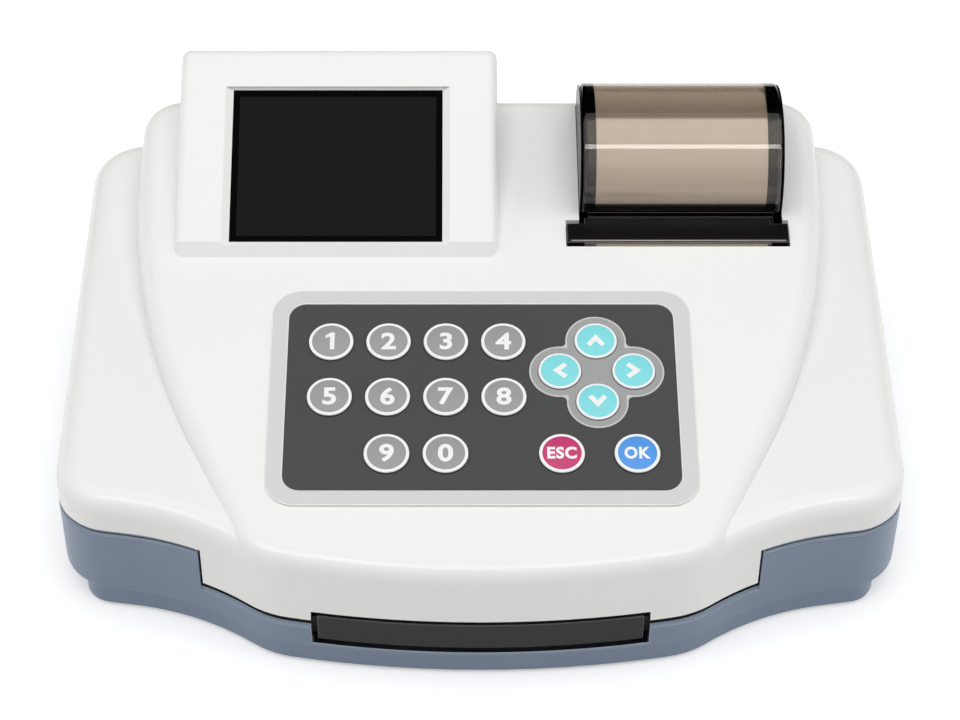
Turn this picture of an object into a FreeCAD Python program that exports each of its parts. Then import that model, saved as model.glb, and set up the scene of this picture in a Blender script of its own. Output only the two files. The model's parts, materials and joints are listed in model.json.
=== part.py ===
import FreeCAD, Part
import math
import os

# Tabletop urine analyzer: a white two-level cover over a blue-grey base, a tilted screen hood at
# the rear left, a clear-domed printer at the rear right, a sixteen-key pad and a strip tray that
# slides out of the front.
# Millimetres. While it is built, x = 0 is the middle, y = 0 the foremost point of the front wall and
# z = 0 the underside of the base plate; the finished pieces are moved so that the origin is the
# middle of the area that the feet stand on.

# Overall form
overall_width = 270.0
overall_depth = 191.0
shell_wall = 2.8
top_inset = 2.0
top_inset_height = 120.0
cover_overhang = 0.5
seat_gap = 0.1
slide_gap = 0.3
part_line = 0.9
overrun = 20.0
right_angle = 90.0

# Front outline: three tangent arcs from the middle to the wing, then the corner and the side
bow_radius_share = 1.222222
bow_angle = 10.5
shoulder_radius_share = 0.114815
shoulder_angle = 36.0
hollow_radius_share = 0.333333
wing_angle = 9.0
front_corner_share = 0.070370
side_taper = 0.1
rear_corner_share = 0.066667

# Heights of the base and of the line where cover and base meet
foot_drop = 1.2
plinth_height = 8.2
plinth_inset = 0.8
plinth_side_inset = 6.2
plinth_rear_inset = 6.0
plinth_corner_radius = 10.0
plinth_floor = 2.4
base_floor = 1.25
band_top = 34.6
lip_height = 1.3
lip_inset = 0.7
front_split = 17.9
front_seam = 2.6
notch_side_run = 46.4
notch_depth = 60.0
notch_gap = 0.8

# Tray slot
slot_side_gap = 1.8
slot_top = 24.5

# Sloping faces of the cover
deck_tilt = 11.0
deck_front_y = 4.8
deck_front_height = 47.0
wing_tilt = 5.1
wing_front_y = 7.3
wing_front_height = 46.4
wing_edge_radius = 7.0
deck_edge_radius = 6.6
deck_front_corner_share = 0.066667
deck_rear_corner = 13.0

# Bell-shaped sides of the deck: a straight run, a long arc and a straight run to the rear
bell_angle = 65.5
bell_x_share = 0.344444
bell_y_share = 0.195556
bell_radius_share = 0.933333

# Keypad, measured up the slope of the deck from its front edge
keypad_x = 0.45
keypad_side_margin = 67.0
keypad_rear_gap = 14.25
frame_start = 20.0
frame_corner = 9.5
frame_height = 0.8
frame_side_border = 5.65
frame_end_border = 5.55
panel_corner = 5.5
panel_above = 0.4
panel_below = 1.6
key_radius_share = 0.388559
key_hole_gap = 0.2
key_above = 1.3
key_crown = 0.35
key_flange_height = 0.5
key_flange_reach = 0.65
key_flange_drop = 0.3
key_travel = 0.8
key_pitch_share = 0.148597
key_row_pitch_share = 0.300559
first_column_share = -0.385325
first_row_share = 0.187832
arrow_centre_x_share = 0.299920
arrow_centre_s_share = 0.627273
arrow_reach_share = 0.639503
arrow_lobe_share = 0.528872
arrow_key_share = 0.372369
arrow_web = 1.6
arrow_pad_height = 0.3
mat_height = 2.8
mat_side_gap = 0.5
well_gap = 0.35
board_thickness = 1.6
boss_radius = 3.0

# Screen hood
hood_side_margin = 33.8
hood_bar_gap = 23.0
hood_rear_run = 71.5
hood_lip_run = 2.9
hood_lip_rise = 4.4
hood_face_tilt = 25.6
hood_face_length = 57.0
hood_brow_run = 12.4
hood_brow_rise = 4.9
hood_brow_sag = 0.35
hood_back_run = 4.0
hood_back_rise = 0.8
hood_wall = 2.6
hood_edge_radius = 3.2
hood_top_radius = 4.0
hood_sill = 6.0
window_left_margin = 18.1
window_right_margin = 18.5
window_start = 0.6
window_end = 0.6
bevel_width = 2.5
bevel_depth = 1.6
pane_margin = 2.2
pane_thickness = 1.2
lcd_margin = 3.4
lcd_start = 2.4
lcd_thickness = 5.0

# Printer
roll_rear_run = 29.5
roll_axis_drop = 0.26
dome_radius = 25.4
dome_wall = 1.6
dome_side_margin = 67.6
dome_width = 66.4
dome_front_drop = 2.6
dome_edge_radius = 1.2
dome_gap = 0.8
hinge_run = 25.3
hinge_rise = 0.4
barrel_radius = 2.2
pin_radius = 1.1
pin_fit = 0.06
knuckle_width = 4.6
knuckle_inset = 6.0
ear_gap = 0.35
paper_radius = 22.5
paper_width = 57.0
core_radius = 8.5
core_bore = 6.2
stub_reach = 3.6
cheek_thickness = 2.4
cheek_radius = 22.9
trough_gap = 0.4
trough_wall = 1.6
trough_drop = 11.2
well_sill_drop = 3.9
bar_left_reach = 38.2
bar_width = 73.8
bar_front_run = 36.3
bar_length = 9.4
bar_above = 1.3
bar_below = 2.6
bar_gap = 1.2
bar_ear_width = 5.8
bar_ear_step = 2.2
platen_run = 31.4
platen_drop = 14.4
platen_radius = 4.0
platen_length = 58.0
shaft_radius = 1.2
shaft_fit = 0.06
bracket_width = 2.4
bracket_wall = 2.0
blade_thickness = 0.35
blade_height = 2.4
paper_thickness = 0.2
head_gap = 0.05
head_thickness = 2.4
shelf_thickness = 2.5
gear_module = 0.5
platen_teeth = 18
drive_teeth = 46
gear_width = 1.7
motor_radius = 6.5
motor_length = 15.0
motor_plate = 2.5

# Strip tray and what drives it
tray_half_width = 48.5
tray_height = 7.4
tray_lift = 0.4
tray_rear_run = 79.0
tray_front_width = 102.4
tray_front_height = 10.85
tray_front_thickness = 2.6
tray_front_recess = 0.6
tray_front_lift = 1.75
basin_half_width = 38.0
basin_front_y = 14.0
basin_rear_margin = 8.0
basin_floor = 2.0
runner_reach = 2.0
runner_height = 1.4
runner_lift = 2.4
rail_outer = 54.0
rail_height = 7.4
rail_front_y = 9.0
rail_overreach = 4.0
insert_width = 18.0
insert_height = 4.4
insert_margin = 2.0
channel_width = 5.6
channel_depth = 1.6
pad_size = 10.0
pad_thickness = 1.2
rack_module = 0.8
pinion_teeth = 18
rack_width = 4.0
rack_inset = 2.5
rack_base = 1.0
rack_front_y = 24.0
pinion_y = 32.0
tray_motor_radius = 9.0
tray_motor_length = 15.0
tray_shaft_radius = 1.5
tray_shaft_fit = 0.1
bridge_front_y = 56.0
bridge_length = 30.0
bridge_clearance = 4.0
bridge_thickness = 2.4
leg_width = 3.0
optics_half_width = 22.0
optics_height = 16.0
optics_margin = 2.0
lens_radius = 5.0

# Circuit boards, sockets, switch, feet and screws
main_side_margin = 37.0
main_switch_gap = 44.0
main_front_run = 67.0
main_height = 4.8
main_rear_gap = 1.0
post_radius = 3.0
socket_recess = 0.5
socket_gap = 0.25
serial_share = 0.30
serial_pin_pitch = 2.8
serial_pin_radius = 0.7
serial_width = 30.8
serial_height = 12.5
usb_share = 0.60
usb_rim = 2.4
usb_width = 12.0
usb_height = 11.0
jack_share = 0.84
jack_width = 9.0
jack_height = 11.0
jack_bore = 3.2
jack_pin = 1.0
socket_depth = 12.0
switch_side_margin = 63.0
switch_z = 21.0
switch_width = 19.0
switch_height = 13.0
switch_depth = 14.0
switch_flange = 1.2
rocker_width = 15.0
rocker_height = 9.4
rocker_tilt = 8.0
rocker_depth = 5.0
rocker_gap = 0.6
foot_radius = 7.0
foot_pocket = 0.8
foot_side_margin = 27.0
foot_front_y = 48.0
foot_rear_run = 23.0
screw_radius = 1.5
screw_fit = 0.05
screw_head_radius = 3.0
screw_head_height = 2.0
screw_length = 22.0
screw_sink = 1.0
screw_slot_width = 0.75
screw_side_margin = 25.0
screw_front_y = 66.0
screw_rear_run = 41.0
screw_boss = 4.2

# Places worked out from the sizes above
half_width = overall_width / 2
bow_radius = overall_width * bow_radius_share
shoulder_radius = overall_width * shoulder_radius_share
hollow_radius = overall_width * hollow_radius_share
front_corner_radius = overall_width * front_corner_share
rear_corner_radius = overall_width * rear_corner_share
bell_x = overall_width * bell_x_share
bell_y = overall_width * bell_y_share
bell_radius = overall_width * bell_radius_share
deck_front_corner = overall_width * deck_front_corner_share
notch_half_width = half_width - notch_side_run
slot_half_width = tray_front_width / 2 + slot_side_gap
cover_bottom = band_top + part_line
skirt_bottom = front_split + front_seam
floor_top = plinth_height + base_floor
dome_middle_x = half_width - dome_side_margin
bar_left = dome_middle_x - bar_left_reach
roll_axis_y = overall_depth - roll_rear_run
hinge_y = roll_axis_y + hinge_run
bar_front_y = roll_axis_y - bar_front_run
platen_y = roll_axis_y - platen_run
hood_left = hood_side_margin - half_width
hood_width = bar_left - hood_bar_gap - hood_left
hood_front_y = overall_depth - hood_rear_run
window_width = hood_width - window_left_margin - window_right_margin
window_length = hood_face_length - window_start - window_end
switch_x = half_width - switch_side_margin
main_left = main_side_margin - half_width
main_width = switch_x - main_switch_gap - main_left
main_front_y = overall_depth - main_front_run
tray_rear_y = overall_depth - tray_rear_run
basin_rear_y = tray_rear_y - basin_rear_margin
rail_rear_y = tray_rear_y + rail_overreach
foot_x = half_width - foot_side_margin
foot_rear_y = overall_depth - foot_rear_run
screw_x = half_width - screw_side_margin
screw_rear_y = overall_depth - screw_rear_run
x_axis = FreeCAD.Vector(1, 0, 0)
y_axis = FreeCAD.Vector(0, 1, 0)
z_axis = FreeCAD.Vector(0, 0, 1)


def vec(x, y, z):
    return FreeCAD.Vector(x, y, z)


def box(x0, x1, y0, y1, z0, z1):
    return Part.makeBox(x1 - x0, y1 - y0, z1 - z0, vec(x0, y0, z0))


def rod_x(radius, x0, x1, y, z):
    return Part.makeCylinder(radius, x1 - x0, vec(x0, y, z), x_axis)


def rod_z(radius, x, y, z0, z1):
    return Part.makeCylinder(radius, z1 - z0, vec(x, y, z0), z_axis)


def fuse(*shapes):
    body = shapes[0]
    for shape in shapes[1:]:
        body = body.fuse(shape)
    return body.removeSplitter()


def side_prism(points, x0, x1):
    # a closed outline in the YZ plane, pushed along x
    corners = [vec(x0, y, z) for y, z in points]
    return Part.Face(Part.makePolygon(corners + corners[:1])).extrude(vec(x1 - x0, 0, 0))


def rounded_plate(x0, x1, s0, s1, radius, n0, n1):
    plate = box(x0, x1, s0, s1, n0, n1)
    corners = [e for e in plate.Edges if abs(e.Vertexes[0].Z - e.Vertexes[-1].Z) > (n1 - n0) / 2]
    return plate.makeFillet(radius, corners)


def tilted(shape, tilt, y, z):
    # x stays, s runs up the slope and n stands square to it
    moved = shape.copy()
    moved.rotate(vec(0, 0, 0), x_axis, tilt)
    moved.translate(vec(0, y, z))
    return moved


def on_deck(shape):
    return tilted(shape, deck_tilt, deck_front_y, deck_front_height)


def deck_height(y):
    return deck_front_height + (y - deck_front_y) * math.tan(math.radians(deck_tilt))


def wing_height(y):
    return wing_front_height + (y - wing_front_y) * math.tan(math.radians(wing_tilt))


# the keypad fills the slope up to the hood; the printer hangs on the slope at its roll
frame_width = overall_width - 2 * keypad_side_margin
deck_run = (hood_front_y - deck_front_y) / math.cos(math.radians(deck_tilt))
frame_length = deck_run - frame_start - keypad_rear_gap
panel_width = frame_width - 2 * frame_side_border
panel_length = frame_length - 2 * frame_end_border
key_pitch = panel_width * key_pitch_share
key_row_pitch = panel_length * key_row_pitch_share
key_step = min(key_pitch, key_row_pitch)
key_radius = key_step * key_radius_share
arrow_reach = key_step * arrow_reach_share
arrow_lobe_radius = key_step * arrow_lobe_share
arrow_key_radius = key_step * arrow_key_share
arrow_centre_x = panel_width * arrow_centre_x_share
arrow_centre_s = frame_start + frame_end_border + panel_length * arrow_centre_s_share
roll_axis_z = deck_height(roll_axis_y) - roll_axis_drop
hinge_z = roll_axis_z + hinge_rise
trough_top = roll_axis_z - trough_drop
well_sill = roll_axis_z - well_sill_drop
platen_z = roll_axis_z - platen_drop


def arc_point(centre, radius, slope, side=1):
    # the point of an arc where its tangent has this slope, in degrees from the x axis
    angle = math.radians(slope)
    return centre[0] + side * radius * math.sin(angle), centre[1] - side * radius * math.cos(angle)


def outline_arcs(side_x, corner, rear_y):
    # centre, radius, first and last slope of each arc of the right half, +1 bulging out
    bow = (0, bow_radius)
    start = arc_point(bow, bow_radius, bow_angle)
    shoulder = arc_point(start, shoulder_radius, bow_angle, -1)
    turn = arc_point(shoulder, shoulder_radius, shoulder_angle)
    hollow = arc_point(turn, hollow_radius, shoulder_angle)
    wing = arc_point(hollow, hollow_radius, wing_angle, -1)
    rise = math.sin(math.radians(wing_angle))
    run = math.cos(math.radians(wing_angle))
    corner_x = side_x - corner
    front = (corner_x, wing[1] + (corner + (corner_x - wing[0]) * rise) / run)
    side = arc_point(front, corner, right_angle + side_taper)
    lean = math.sin(math.radians(side_taper))
    upright = math.cos(math.radians(side_taper))
    rear_centre_y = rear_y - rear_corner_radius
    rear_centre_x = side[0] - (rear_corner_radius + (rear_centre_y - side[1]) * lean) / upright
    rear = (rear_centre_x, rear_centre_y)
    return [
        (bow, bow_radius, 0, bow_angle, 1),
        (shoulder, shoulder_radius, bow_angle, shoulder_angle, 1),
        (hollow, hollow_radius, shoulder_angle, wing_angle, -1),
        (front, corner, wing_angle, right_angle + side_taper, 1),
        (rear, rear_corner_radius, right_angle + side_taper, 2 * right_angle, 1),
    ]


def outline(inset, z, side_x=half_width, corner=front_corner_radius, rear_y=overall_depth):
    edges = []
    for mirror in (1, -1):
        last = None
        for centre, radius, first, final, side in outline_arcs(side_x, corner, rear_y):
            reach = radius - side * inset
            slopes = (first, (first + final) / 2, final)
            points = [arc_point(centre, reach, slope, side) for slope in slopes]
            ends = [vec(mirror * x, y, z) for x, y in points]
            if last is not None and last.distanceToPoint(ends[0]) > Part.Precision.approximation():
                edges.append(Part.makeLine(last, ends[0]))
            edges.append(Part.Arc(*ends).toShape())
            last = ends[2]
        edges.append(Part.makeLine(last, vec(0, rear_y - inset, z)))
    return Part.Wire(Part.__sortEdges__(edges))


def prism(inset, z0, z1, **form):
    return Part.Face(outline(inset, z0, **form)).extrude(vec(0, 0, z1 - z0))


def plinth_prism(inset, z0, z1):
    side_x = half_width - plinth_side_inset
    rear_y = overall_depth - plinth_rear_inset
    return prism(inset, z0, z1, side_x=side_x, corner=plinth_corner_radius, rear_y=rear_y)


def below_plane(height_at, drop):
    # everything under a sloping plane
    near = -overrun
    far = overall_depth + overrun
    low = -overrun
    points = [(near, height_at(near) - drop), (far, height_at(far) - drop), (far, low), (near, low)]
    return side_prism(points, -overall_width, overall_width)


def top_edges(shape, height_at, drop):
    near = Part.Precision.approximation() * overall_width
    found = []
    for edge in shape.Edges:
        gaps = [abs(v.Z - height_at(v.Y) + drop) for v in edge.Vertexes]
        if max(gaps) < near:
            found.append(edge)
    return found


def upright_edges(shape, x_from, x_to, y_from, y_to):
    found = []
    for edge in shape.Edges:
        tall = abs(edge.Vertexes[0].Z - edge.Vertexes[-1].Z) > band_top
        middle = edge.CenterOfMass
        if tall and x_from < abs(middle.x) < x_to and y_from < middle.y < y_to:
            found.append(edge)
    return found


def middle_x(edge):
    return edge.CenterOfMass.x


def bell_column(inset):
    # the deck's plan, open at front and rear, where the drafted walls close it
    centre_x, centre_y = arc_point((bell_x, bell_y), bell_radius, bell_angle, -1)
    radius = bell_radius - inset
    slopes = (bell_angle, (bell_angle + right_angle) / 2, right_angle)
    arc = [arc_point((centre_x, centre_y), radius, slope) for slope in slopes]
    run = (arc[0][1] + overrun) / math.tan(math.radians(bell_angle))
    front = (arc[0][0] - run, -overrun)
    rear = (arc[2][0], overall_depth + overrun)
    edges = []
    for side in (1, -1):
        points = [vec(side * x, y, -overrun) for x, y in [front] + arc + [rear]]
        edges.append(Part.makeLine(points[0], points[1]))
        edges.append(Part.Arc(points[1], points[2], points[3]).toShape())
        edges.append(Part.makeLine(points[3], points[4]))
    edges.append(Part.makeLine(vec(front[0], front[1], -overrun), vec(-front[0], front[1], -overrun)))
    edges.append(Part.makeLine(vec(rear[0], rear[1], -overrun), vec(-rear[0], rear[1], -overrun)))
    wire = Part.Wire(Part.__sortEdges__(edges))
    return Part.Face(wire).extrude(vec(0, 0, top_inset_height + overrun))


def cover_tower(inset):
    # the cover's walls, leaning in a little towards the top
    low = outline(inset - cover_overhang, 0)
    high = outline(inset - cover_overhang + top_inset, top_inset_height)
    return Part.makeLoft([low, high], True, True)


def cover_form(inset):
    # the low wings and the raised deck, each with its own rounded edge
    tower = cover_tower(inset)
    wings = tower.common(below_plane(wing_height, inset))
    wings = wings.makeFillet(wing_edge_radius - inset, top_edges(wings, wing_height, inset))
    deck = tower.common(bell_column(inset)).common(below_plane(deck_height, inset))
    rear_y = overall_depth - rear_corner_radius
    rear = upright_edges(deck, bell_x, half_width, rear_y, overall_depth)
    deck = deck.makeFillet(deck_rear_corner - inset, rear)
    front = upright_edges(deck, 0, half_width, -overrun, bell_y / 2)
    sides = [min(front, key=middle_x), max(front, key=middle_x)]
    deck = deck.makeFillet(deck_front_corner, sides)
    deck = deck.makeFillet(deck_edge_radius - inset, top_edges(deck, deck_height, inset))
    return wings.fuse(deck)


arrow_keys = ("key_left", "key_right", "key_up", "key_down")


def cap_radius(name):
    return arrow_key_radius if name in arrow_keys else key_radius


def key_places():
    first_row = frame_start + frame_end_border + panel_length * first_row_share
    rows = [first_row + key_row_pitch * count for count in (2, 1, 0)]
    columns = [panel_width * first_column_share + key_pitch * count for count in range(4)]
    places = {}
    for column, name in zip(columns, ("1", "2", "3", "4")):
        places["key_" + name] = (column, rows[0])
    for column, name in zip(columns, ("5", "6", "7", "8")):
        places["key_" + name] = (column, rows[1])
    places["key_9"] = (columns[1], rows[2])
    places["key_0"] = (columns[2], rows[2])
    places["key_esc"] = (arrow_centre_x - arrow_reach, rows[2])
    places["key_ok"] = (arrow_centre_x + arrow_reach, rows[2])
    places["key_left"] = (arrow_centre_x - arrow_reach, arrow_centre_s)
    places["key_right"] = (arrow_centre_x + arrow_reach, arrow_centre_s)
    places["key_up"] = (arrow_centre_x, arrow_centre_s + arrow_reach)
    places["key_down"] = (arrow_centre_x, arrow_centre_s - arrow_reach)
    return places


frame_middle = frame_start + frame_length / 2
mat_top = -panel_below
mat_bottom = mat_top - mat_height


def panel_plate(grow, n0, n1):
    x0 = keypad_x - panel_width / 2 - grow
    s0 = frame_middle - panel_length / 2 - grow
    radius = panel_corner + grow
    return rounded_plate(x0, x0 + panel_width + 2 * grow, s0, s0 + panel_length + 2 * grow, radius, n0, n1)


def board_bounds():
    half_x = frame_width / 2
    half_s = frame_length / 2
    return keypad_x - half_x, keypad_x + half_x, frame_middle - half_s, frame_middle + half_s


def make_keypad(parts):
    x0, x1, s0, s1 = board_bounds()
    frame = rounded_plate(x0, x1, s0, s1, frame_corner, 0, frame_height)
    frame = frame.cut(panel_plate(seat_gap, -overrun, overrun))
    panel = panel_plate(0, -panel_below, panel_above)
    mat = panel_plate(-mat_side_gap, mat_bottom, mat_top)
    flange_top = mat_top - key_flange_drop
    for name, (x, s) in key_places().items():
        radius = cap_radius(name)
        panel = panel.cut(rod_z(radius + key_hole_gap, x, s, -overrun, overrun))
        key_bottom = flange_top - key_flange_height
        floor = key_bottom - key_travel - seat_gap
        mat = mat.cut(rod_z(radius + key_flange_reach + well_gap, x, s, floor, overrun))
        cap = rod_z(radius, x, s, key_bottom, key_above)
        rim = [edge for edge in cap.Edges if abs(edge.CenterOfMass.z - key_above) < seat_gap]
        cap = cap.makeFillet(key_crown, rim)
        flange = rod_z(radius + key_flange_reach, x, s, key_bottom, flange_top)
        parts[name] = on_deck(fuse(cap, flange))
    pad_top = panel_above + arrow_pad_height
    lobes = [rod_z(arrow_reach, arrow_centre_x, arrow_centre_s, panel_above, pad_top)]
    for name in arrow_keys:
        x, s = key_places()[name]
        lobes.append(rod_z(arrow_lobe_radius, x, s, panel_above, pad_top))
    pad = fuse(*lobes)
    inner_corners = []
    for edge in pad.Edges:
        x_off = abs(edge.CenterOfMass.x - arrow_centre_x)
        s_off = abs(edge.CenterOfMass.y - arrow_centre_s)
        if abs(x_off - s_off) < seat_gap and edge.Length < 2 * arrow_pad_height:
            inner_corners.append(edge)
    pad = pad.makeFillet(arrow_web, inner_corners)
    for name in arrow_keys:
        x, s = key_places()[name]
        pad = pad.cut(rod_z(arrow_key_radius + key_hole_gap, x, s, -overrun, overrun))
    board = box(x0, x1, s0, s1, mat_bottom - board_thickness, mat_bottom)
    parts["keypad_frame"] = on_deck(frame)
    parts["keypad_panel"] = on_deck(panel)
    parts["arrow_pad"] = on_deck(pad)
    parts["key_mat"] = on_deck(mat)
    parts["key_board"] = on_deck(board)


def hood_profile():
    front = (hood_front_y, deck_height(hood_front_y))
    lip = (front[0] + hood_lip_run, front[1] + hood_lip_rise)
    tilt = math.radians(hood_face_tilt)
    brow = (lip[0] + hood_face_length * math.cos(tilt), lip[1] + hood_face_length * math.sin(tilt))
    crest = (brow[0] + hood_brow_run, brow[1] + hood_brow_rise)
    back = (crest[0] + hood_back_run, crest[1] + hood_back_rise)
    return front, lip, brow, crest, back


def rear_wall_y(z):
    return overall_depth + cover_overhang - top_inset * z / top_inset_height


def hood_solid(inset):
    front, lip, brow, crest, back = hood_profile()
    x0 = hood_left
    middle = ((brow[0] + crest[0]) / 2, (brow[1] + crest[1]) / 2 + hood_brow_sag)
    sill_y = rear_wall_y(deck_height(overall_depth))
    heel = (sill_y, deck_height(sill_y))
    points = [vec(x0, y, z) for y, z in (front, lip, brow)]
    edges = [Part.makeLine(points[0], points[1]), Part.makeLine(points[1], points[2])]
    edges.append(Part.Arc(vec(x0, *brow), vec(x0, *middle), vec(x0, *crest)).toShape())
    edges.append(Part.makeLine(vec(x0, *crest), vec(x0, *back)))
    edges.append(Part.makeLine(vec(x0, *back), vec(x0, *heel)))
    edges.append(Part.makeLine(vec(x0, *heel), points[0]))
    wire = Part.Wire(edges)
    if inset:
        wire = wire.makeOffset2D(-inset)
        wire.translate(vec(inset, 0, 0))
    return Part.Face(wire).extrude(vec(hood_width - 2 * inset, 0, 0))


def on_face(shape):
    front, lip, brow, crest, back = hood_profile()
    return tilted(shape, hood_face_tilt, *lip)


def window_rect(grow, n0, n1):
    x0 = hood_left + window_left_margin - grow
    s0 = window_start - grow
    return box(x0, x0 + window_width + 2 * grow, s0, s0 + window_length + 2 * grow, n0, n1)


def window_wire(grow, n):
    plate = window_rect(grow, n, n + overrun)
    low = [face for face in plate.Faces if abs(face.CenterOfMass.z - n) < seat_gap]
    return low[0].OuterWire


def make_screen(parts):
    front, lip, brow, crest, back = hood_profile()
    hood = hood_solid(0)
    rear_top = [e for e in hood.Edges if abs(e.CenterOfMass.y - back[0]) < seat_gap
                and abs(e.CenterOfMass.z - back[1]) < seat_gap]
    hood = hood.makeFillet(hood_top_radius, rear_top)
    rims = []
    for edge in hood.Edges:
        on_side = len({round(v.X) for v in edge.Vertexes}) == 1
        seat = max(abs(v.Z - deck_height(v.Y)) for v in edge.Vertexes) < seat_gap
        if on_side and not seat:
            rims.append(edge)
    hood = hood.makeFillet(hood_edge_radius, rims)
    hollow = hood_solid(hood_wall)
    lower = hollow.copy()
    lower.translate(vec(0, 0, -hood_wall - hood_wall))
    hood = hood.cut(hollow).cut(lower)
    bevel = Part.makeLoft([window_wire(0, -bevel_depth), window_wire(bevel_width, 0)], True, True)
    hood = hood.cut(on_face(bevel)).cut(on_face(window_rect(0, -overrun, 0)))
    pane_top = -bevel_depth
    pane_bottom = pane_top - pane_thickness
    hood = hood.cut(on_face(window_rect(pane_margin + seat_gap, pane_bottom - overrun, pane_top)))
    parts["screen_window"] = on_face(window_rect(pane_margin, pane_bottom, pane_top))
    lcd_top = pane_bottom - seat_gap
    x0 = hood_left + window_left_margin - lcd_margin
    s1 = window_start + window_length + lcd_margin
    x1 = x0 + window_width + 2 * lcd_margin
    parts["lcd_panel"] = on_face(box(x0, x1, lcd_start, s1, lcd_top - lcd_thickness, lcd_top))
    pocket = box(x0 - slide_gap, x1 + slide_gap, lcd_start - slide_gap, s1 + slide_gap,
                 lcd_top - overrun, lcd_top + seat_gap)
    parts["screen_hood"] = hood.cut(on_face(pocket)).removeSplitter()


dome_left = dome_middle_x - dome_width / 2
dome_right = dome_middle_x + dome_width / 2
dome_front_z = roll_axis_z - dome_front_drop
cheek_left = dome_left + dome_wall + slide_gap
cheek_right = dome_right - dome_wall - slide_gap


def ear_spans():
    # the cover's knuckles sit outside the cradle's ears, end to end
    first = dome_left + knuckle_inset
    last = dome_right - knuckle_inset
    cover = [(first, first + knuckle_width), (last - knuckle_width, last)]
    cradle = [(first + knuckle_width + ear_gap, first + 2 * knuckle_width),
              (last - 2 * knuckle_width, last - knuckle_width - ear_gap)]
    return cover, cradle


def make_dome(parts):
    outer = rod_x(dome_radius, dome_left, dome_right, roll_axis_y, roll_axis_z)
    rims = [edge for edge in outer.Edges if len(edge.Vertexes) == 1]
    outer = outer.makeFillet(dome_edge_radius, rims)
    inner = rod_x(dome_radius - dome_wall, dome_left + dome_wall, dome_right - dome_wall,
                  roll_axis_y, roll_axis_z)
    dome = outer.cut(inner)
    far = dome_radius + overrun
    low = box(dome_left - overrun, dome_right + overrun, roll_axis_y - far, roll_axis_y,
              roll_axis_z - far, dome_front_z)
    low_rear = box(dome_left - overrun, dome_right + overrun, roll_axis_y, roll_axis_y + far,
                   roll_axis_z - far, roll_axis_z)
    dome = dome.cut(low).cut(low_rear)
    cover, cradle = ear_spans()
    rear = roll_axis_y + dome_radius
    for x0, x1 in cover:
        dome = dome.fuse(rod_x(barrel_radius, x0, x1, hinge_y, hinge_z))
        arm = box(x0, x1, rear - dome_wall, hinge_y, roll_axis_z, roll_axis_z + barrel_radius)
        dome = dome.fuse(arm.cut(inner))
    for x0, x1 in cradle:
        relief = barrel_radius + slide_gap
        dome = dome.cut(rod_x(relief, x0 - ear_gap, x1 + ear_gap, hinge_y, hinge_z))
    pin_x = (cover[0][0], cover[1][1])
    dome = dome.cut(rod_x(pin_radius + pin_fit, pin_x[0], pin_x[1], hinge_y, hinge_z))
    parts["printer_cover"] = dome.removeSplitter()
    parts["hinge_pin"] = rod_x(pin_radius, pin_x[0], pin_x[1], hinge_y, hinge_z)


def make_cradle(parts):
    left = dome_left - dome_gap + slide_gap
    right = dome_right + dome_gap - slide_gap
    inner = dome_radius - dome_wall + trough_gap + slide_gap
    outer = inner + trough_wall
    shell = rod_x(outer, left, right, roll_axis_y, roll_axis_z)
    core = rod_x(inner, left + trough_wall, right - trough_wall, roll_axis_y, roll_axis_z)
    shell = shell.cut(core)
    top = roll_axis_z + 2 * dome_radius
    shell = shell.cut(box(left - overrun, right + overrun, 0, overall_depth + overrun, trough_top, top))
    mouth_z = platen_z - platen_radius
    mouth = box(left + trough_wall, right - trough_wall, 0, roll_axis_y - cheek_radius + overrun / 2,
                mouth_z, top)
    shell = shell.cut(mouth)
    for x0, x1 in ((cheek_left, cheek_left + cheek_thickness), (cheek_right - cheek_thickness, cheek_right)):
        shell = shell.fuse(rod_x(cheek_radius, x0, x1, roll_axis_y, roll_axis_z))
    joint_width = cheek_left - left
    for x0 in (left, right - joint_width):
        web = rod_x(cheek_radius, x0, x0 + joint_width, roll_axis_y, roll_axis_z)
        web = web.cut(box(left - overrun, right + overrun, 0, overall_depth, trough_top, top))
        shell = shell.fuse(web)
    stub_length = cheek_thickness + stub_reach
    stub = core_bore - slide_gap
    shell = shell.fuse(rod_x(stub, cheek_left, cheek_left + stub_length, roll_axis_y, roll_axis_z))
    shell = shell.fuse(rod_x(stub, cheek_right - stub_length, cheek_right, roll_axis_y, roll_axis_z))
    cover, cradle = ear_spans()
    for x0, x1 in cradle:
        shell = shell.fuse(rod_x(barrel_radius, x0, x1, hinge_y, hinge_z))
        foot_z = trough_top - 2 * barrel_radius
        web_y = rear_wall_y(well_sill) - shell_wall - slide_gap
        web = box(x0, x1, hinge_y - barrel_radius, web_y, foot_z, hinge_z)
        shell = shell.fuse(web.cut(core))
    shell = shell.cut(rod_x(pin_radius + pin_fit, cover[0][0], cover[1][1], hinge_y, hinge_z))
    head_top = mouth_z - head_gap - paper_thickness
    shelf_top = head_top - head_thickness
    shelf_front = bar_front_y - bar_gap / 2
    shelf = box(left, right, shelf_front, roll_axis_y - inner / 2, shelf_top - shelf_thickness, shelf_top)
    shelf = shelf.cut(rod_x(inner, left - overrun, right + overrun, roll_axis_y, roll_axis_z))
    axis_z = drive_axis_z()
    plate_low = axis_z - motor_radius
    plate = box(left, left + motor_plate, shelf_front, platen_y + motor_radius + bracket_wall,
                plate_low, shelf_top)
    plate = plate.cut(rod_x(shaft_radius * 2, left - overrun, left + overrun, platen_y, axis_z))
    shell = shell.fuse(shelf).fuse(plate)
    parts["roll_cradle"] = shell.removeSplitter()
    head_x0 = dome_middle_x - platen_length / 2
    parts["print_head"] = box(head_x0, head_x0 + platen_length, shelf_front + bar_gap,
                              platen_y + platen_radius, shelf_top, head_top)
    motor_x0 = left + motor_plate
    parts["printer_motor"] = rod_x(motor_radius, motor_x0, motor_x0 + motor_length, platen_y, axis_z).cut(
        rod_x(shaft_radius + shaft_fit, motor_x0, motor_x0 + motor_length / 2, platen_y, axis_z))


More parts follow.
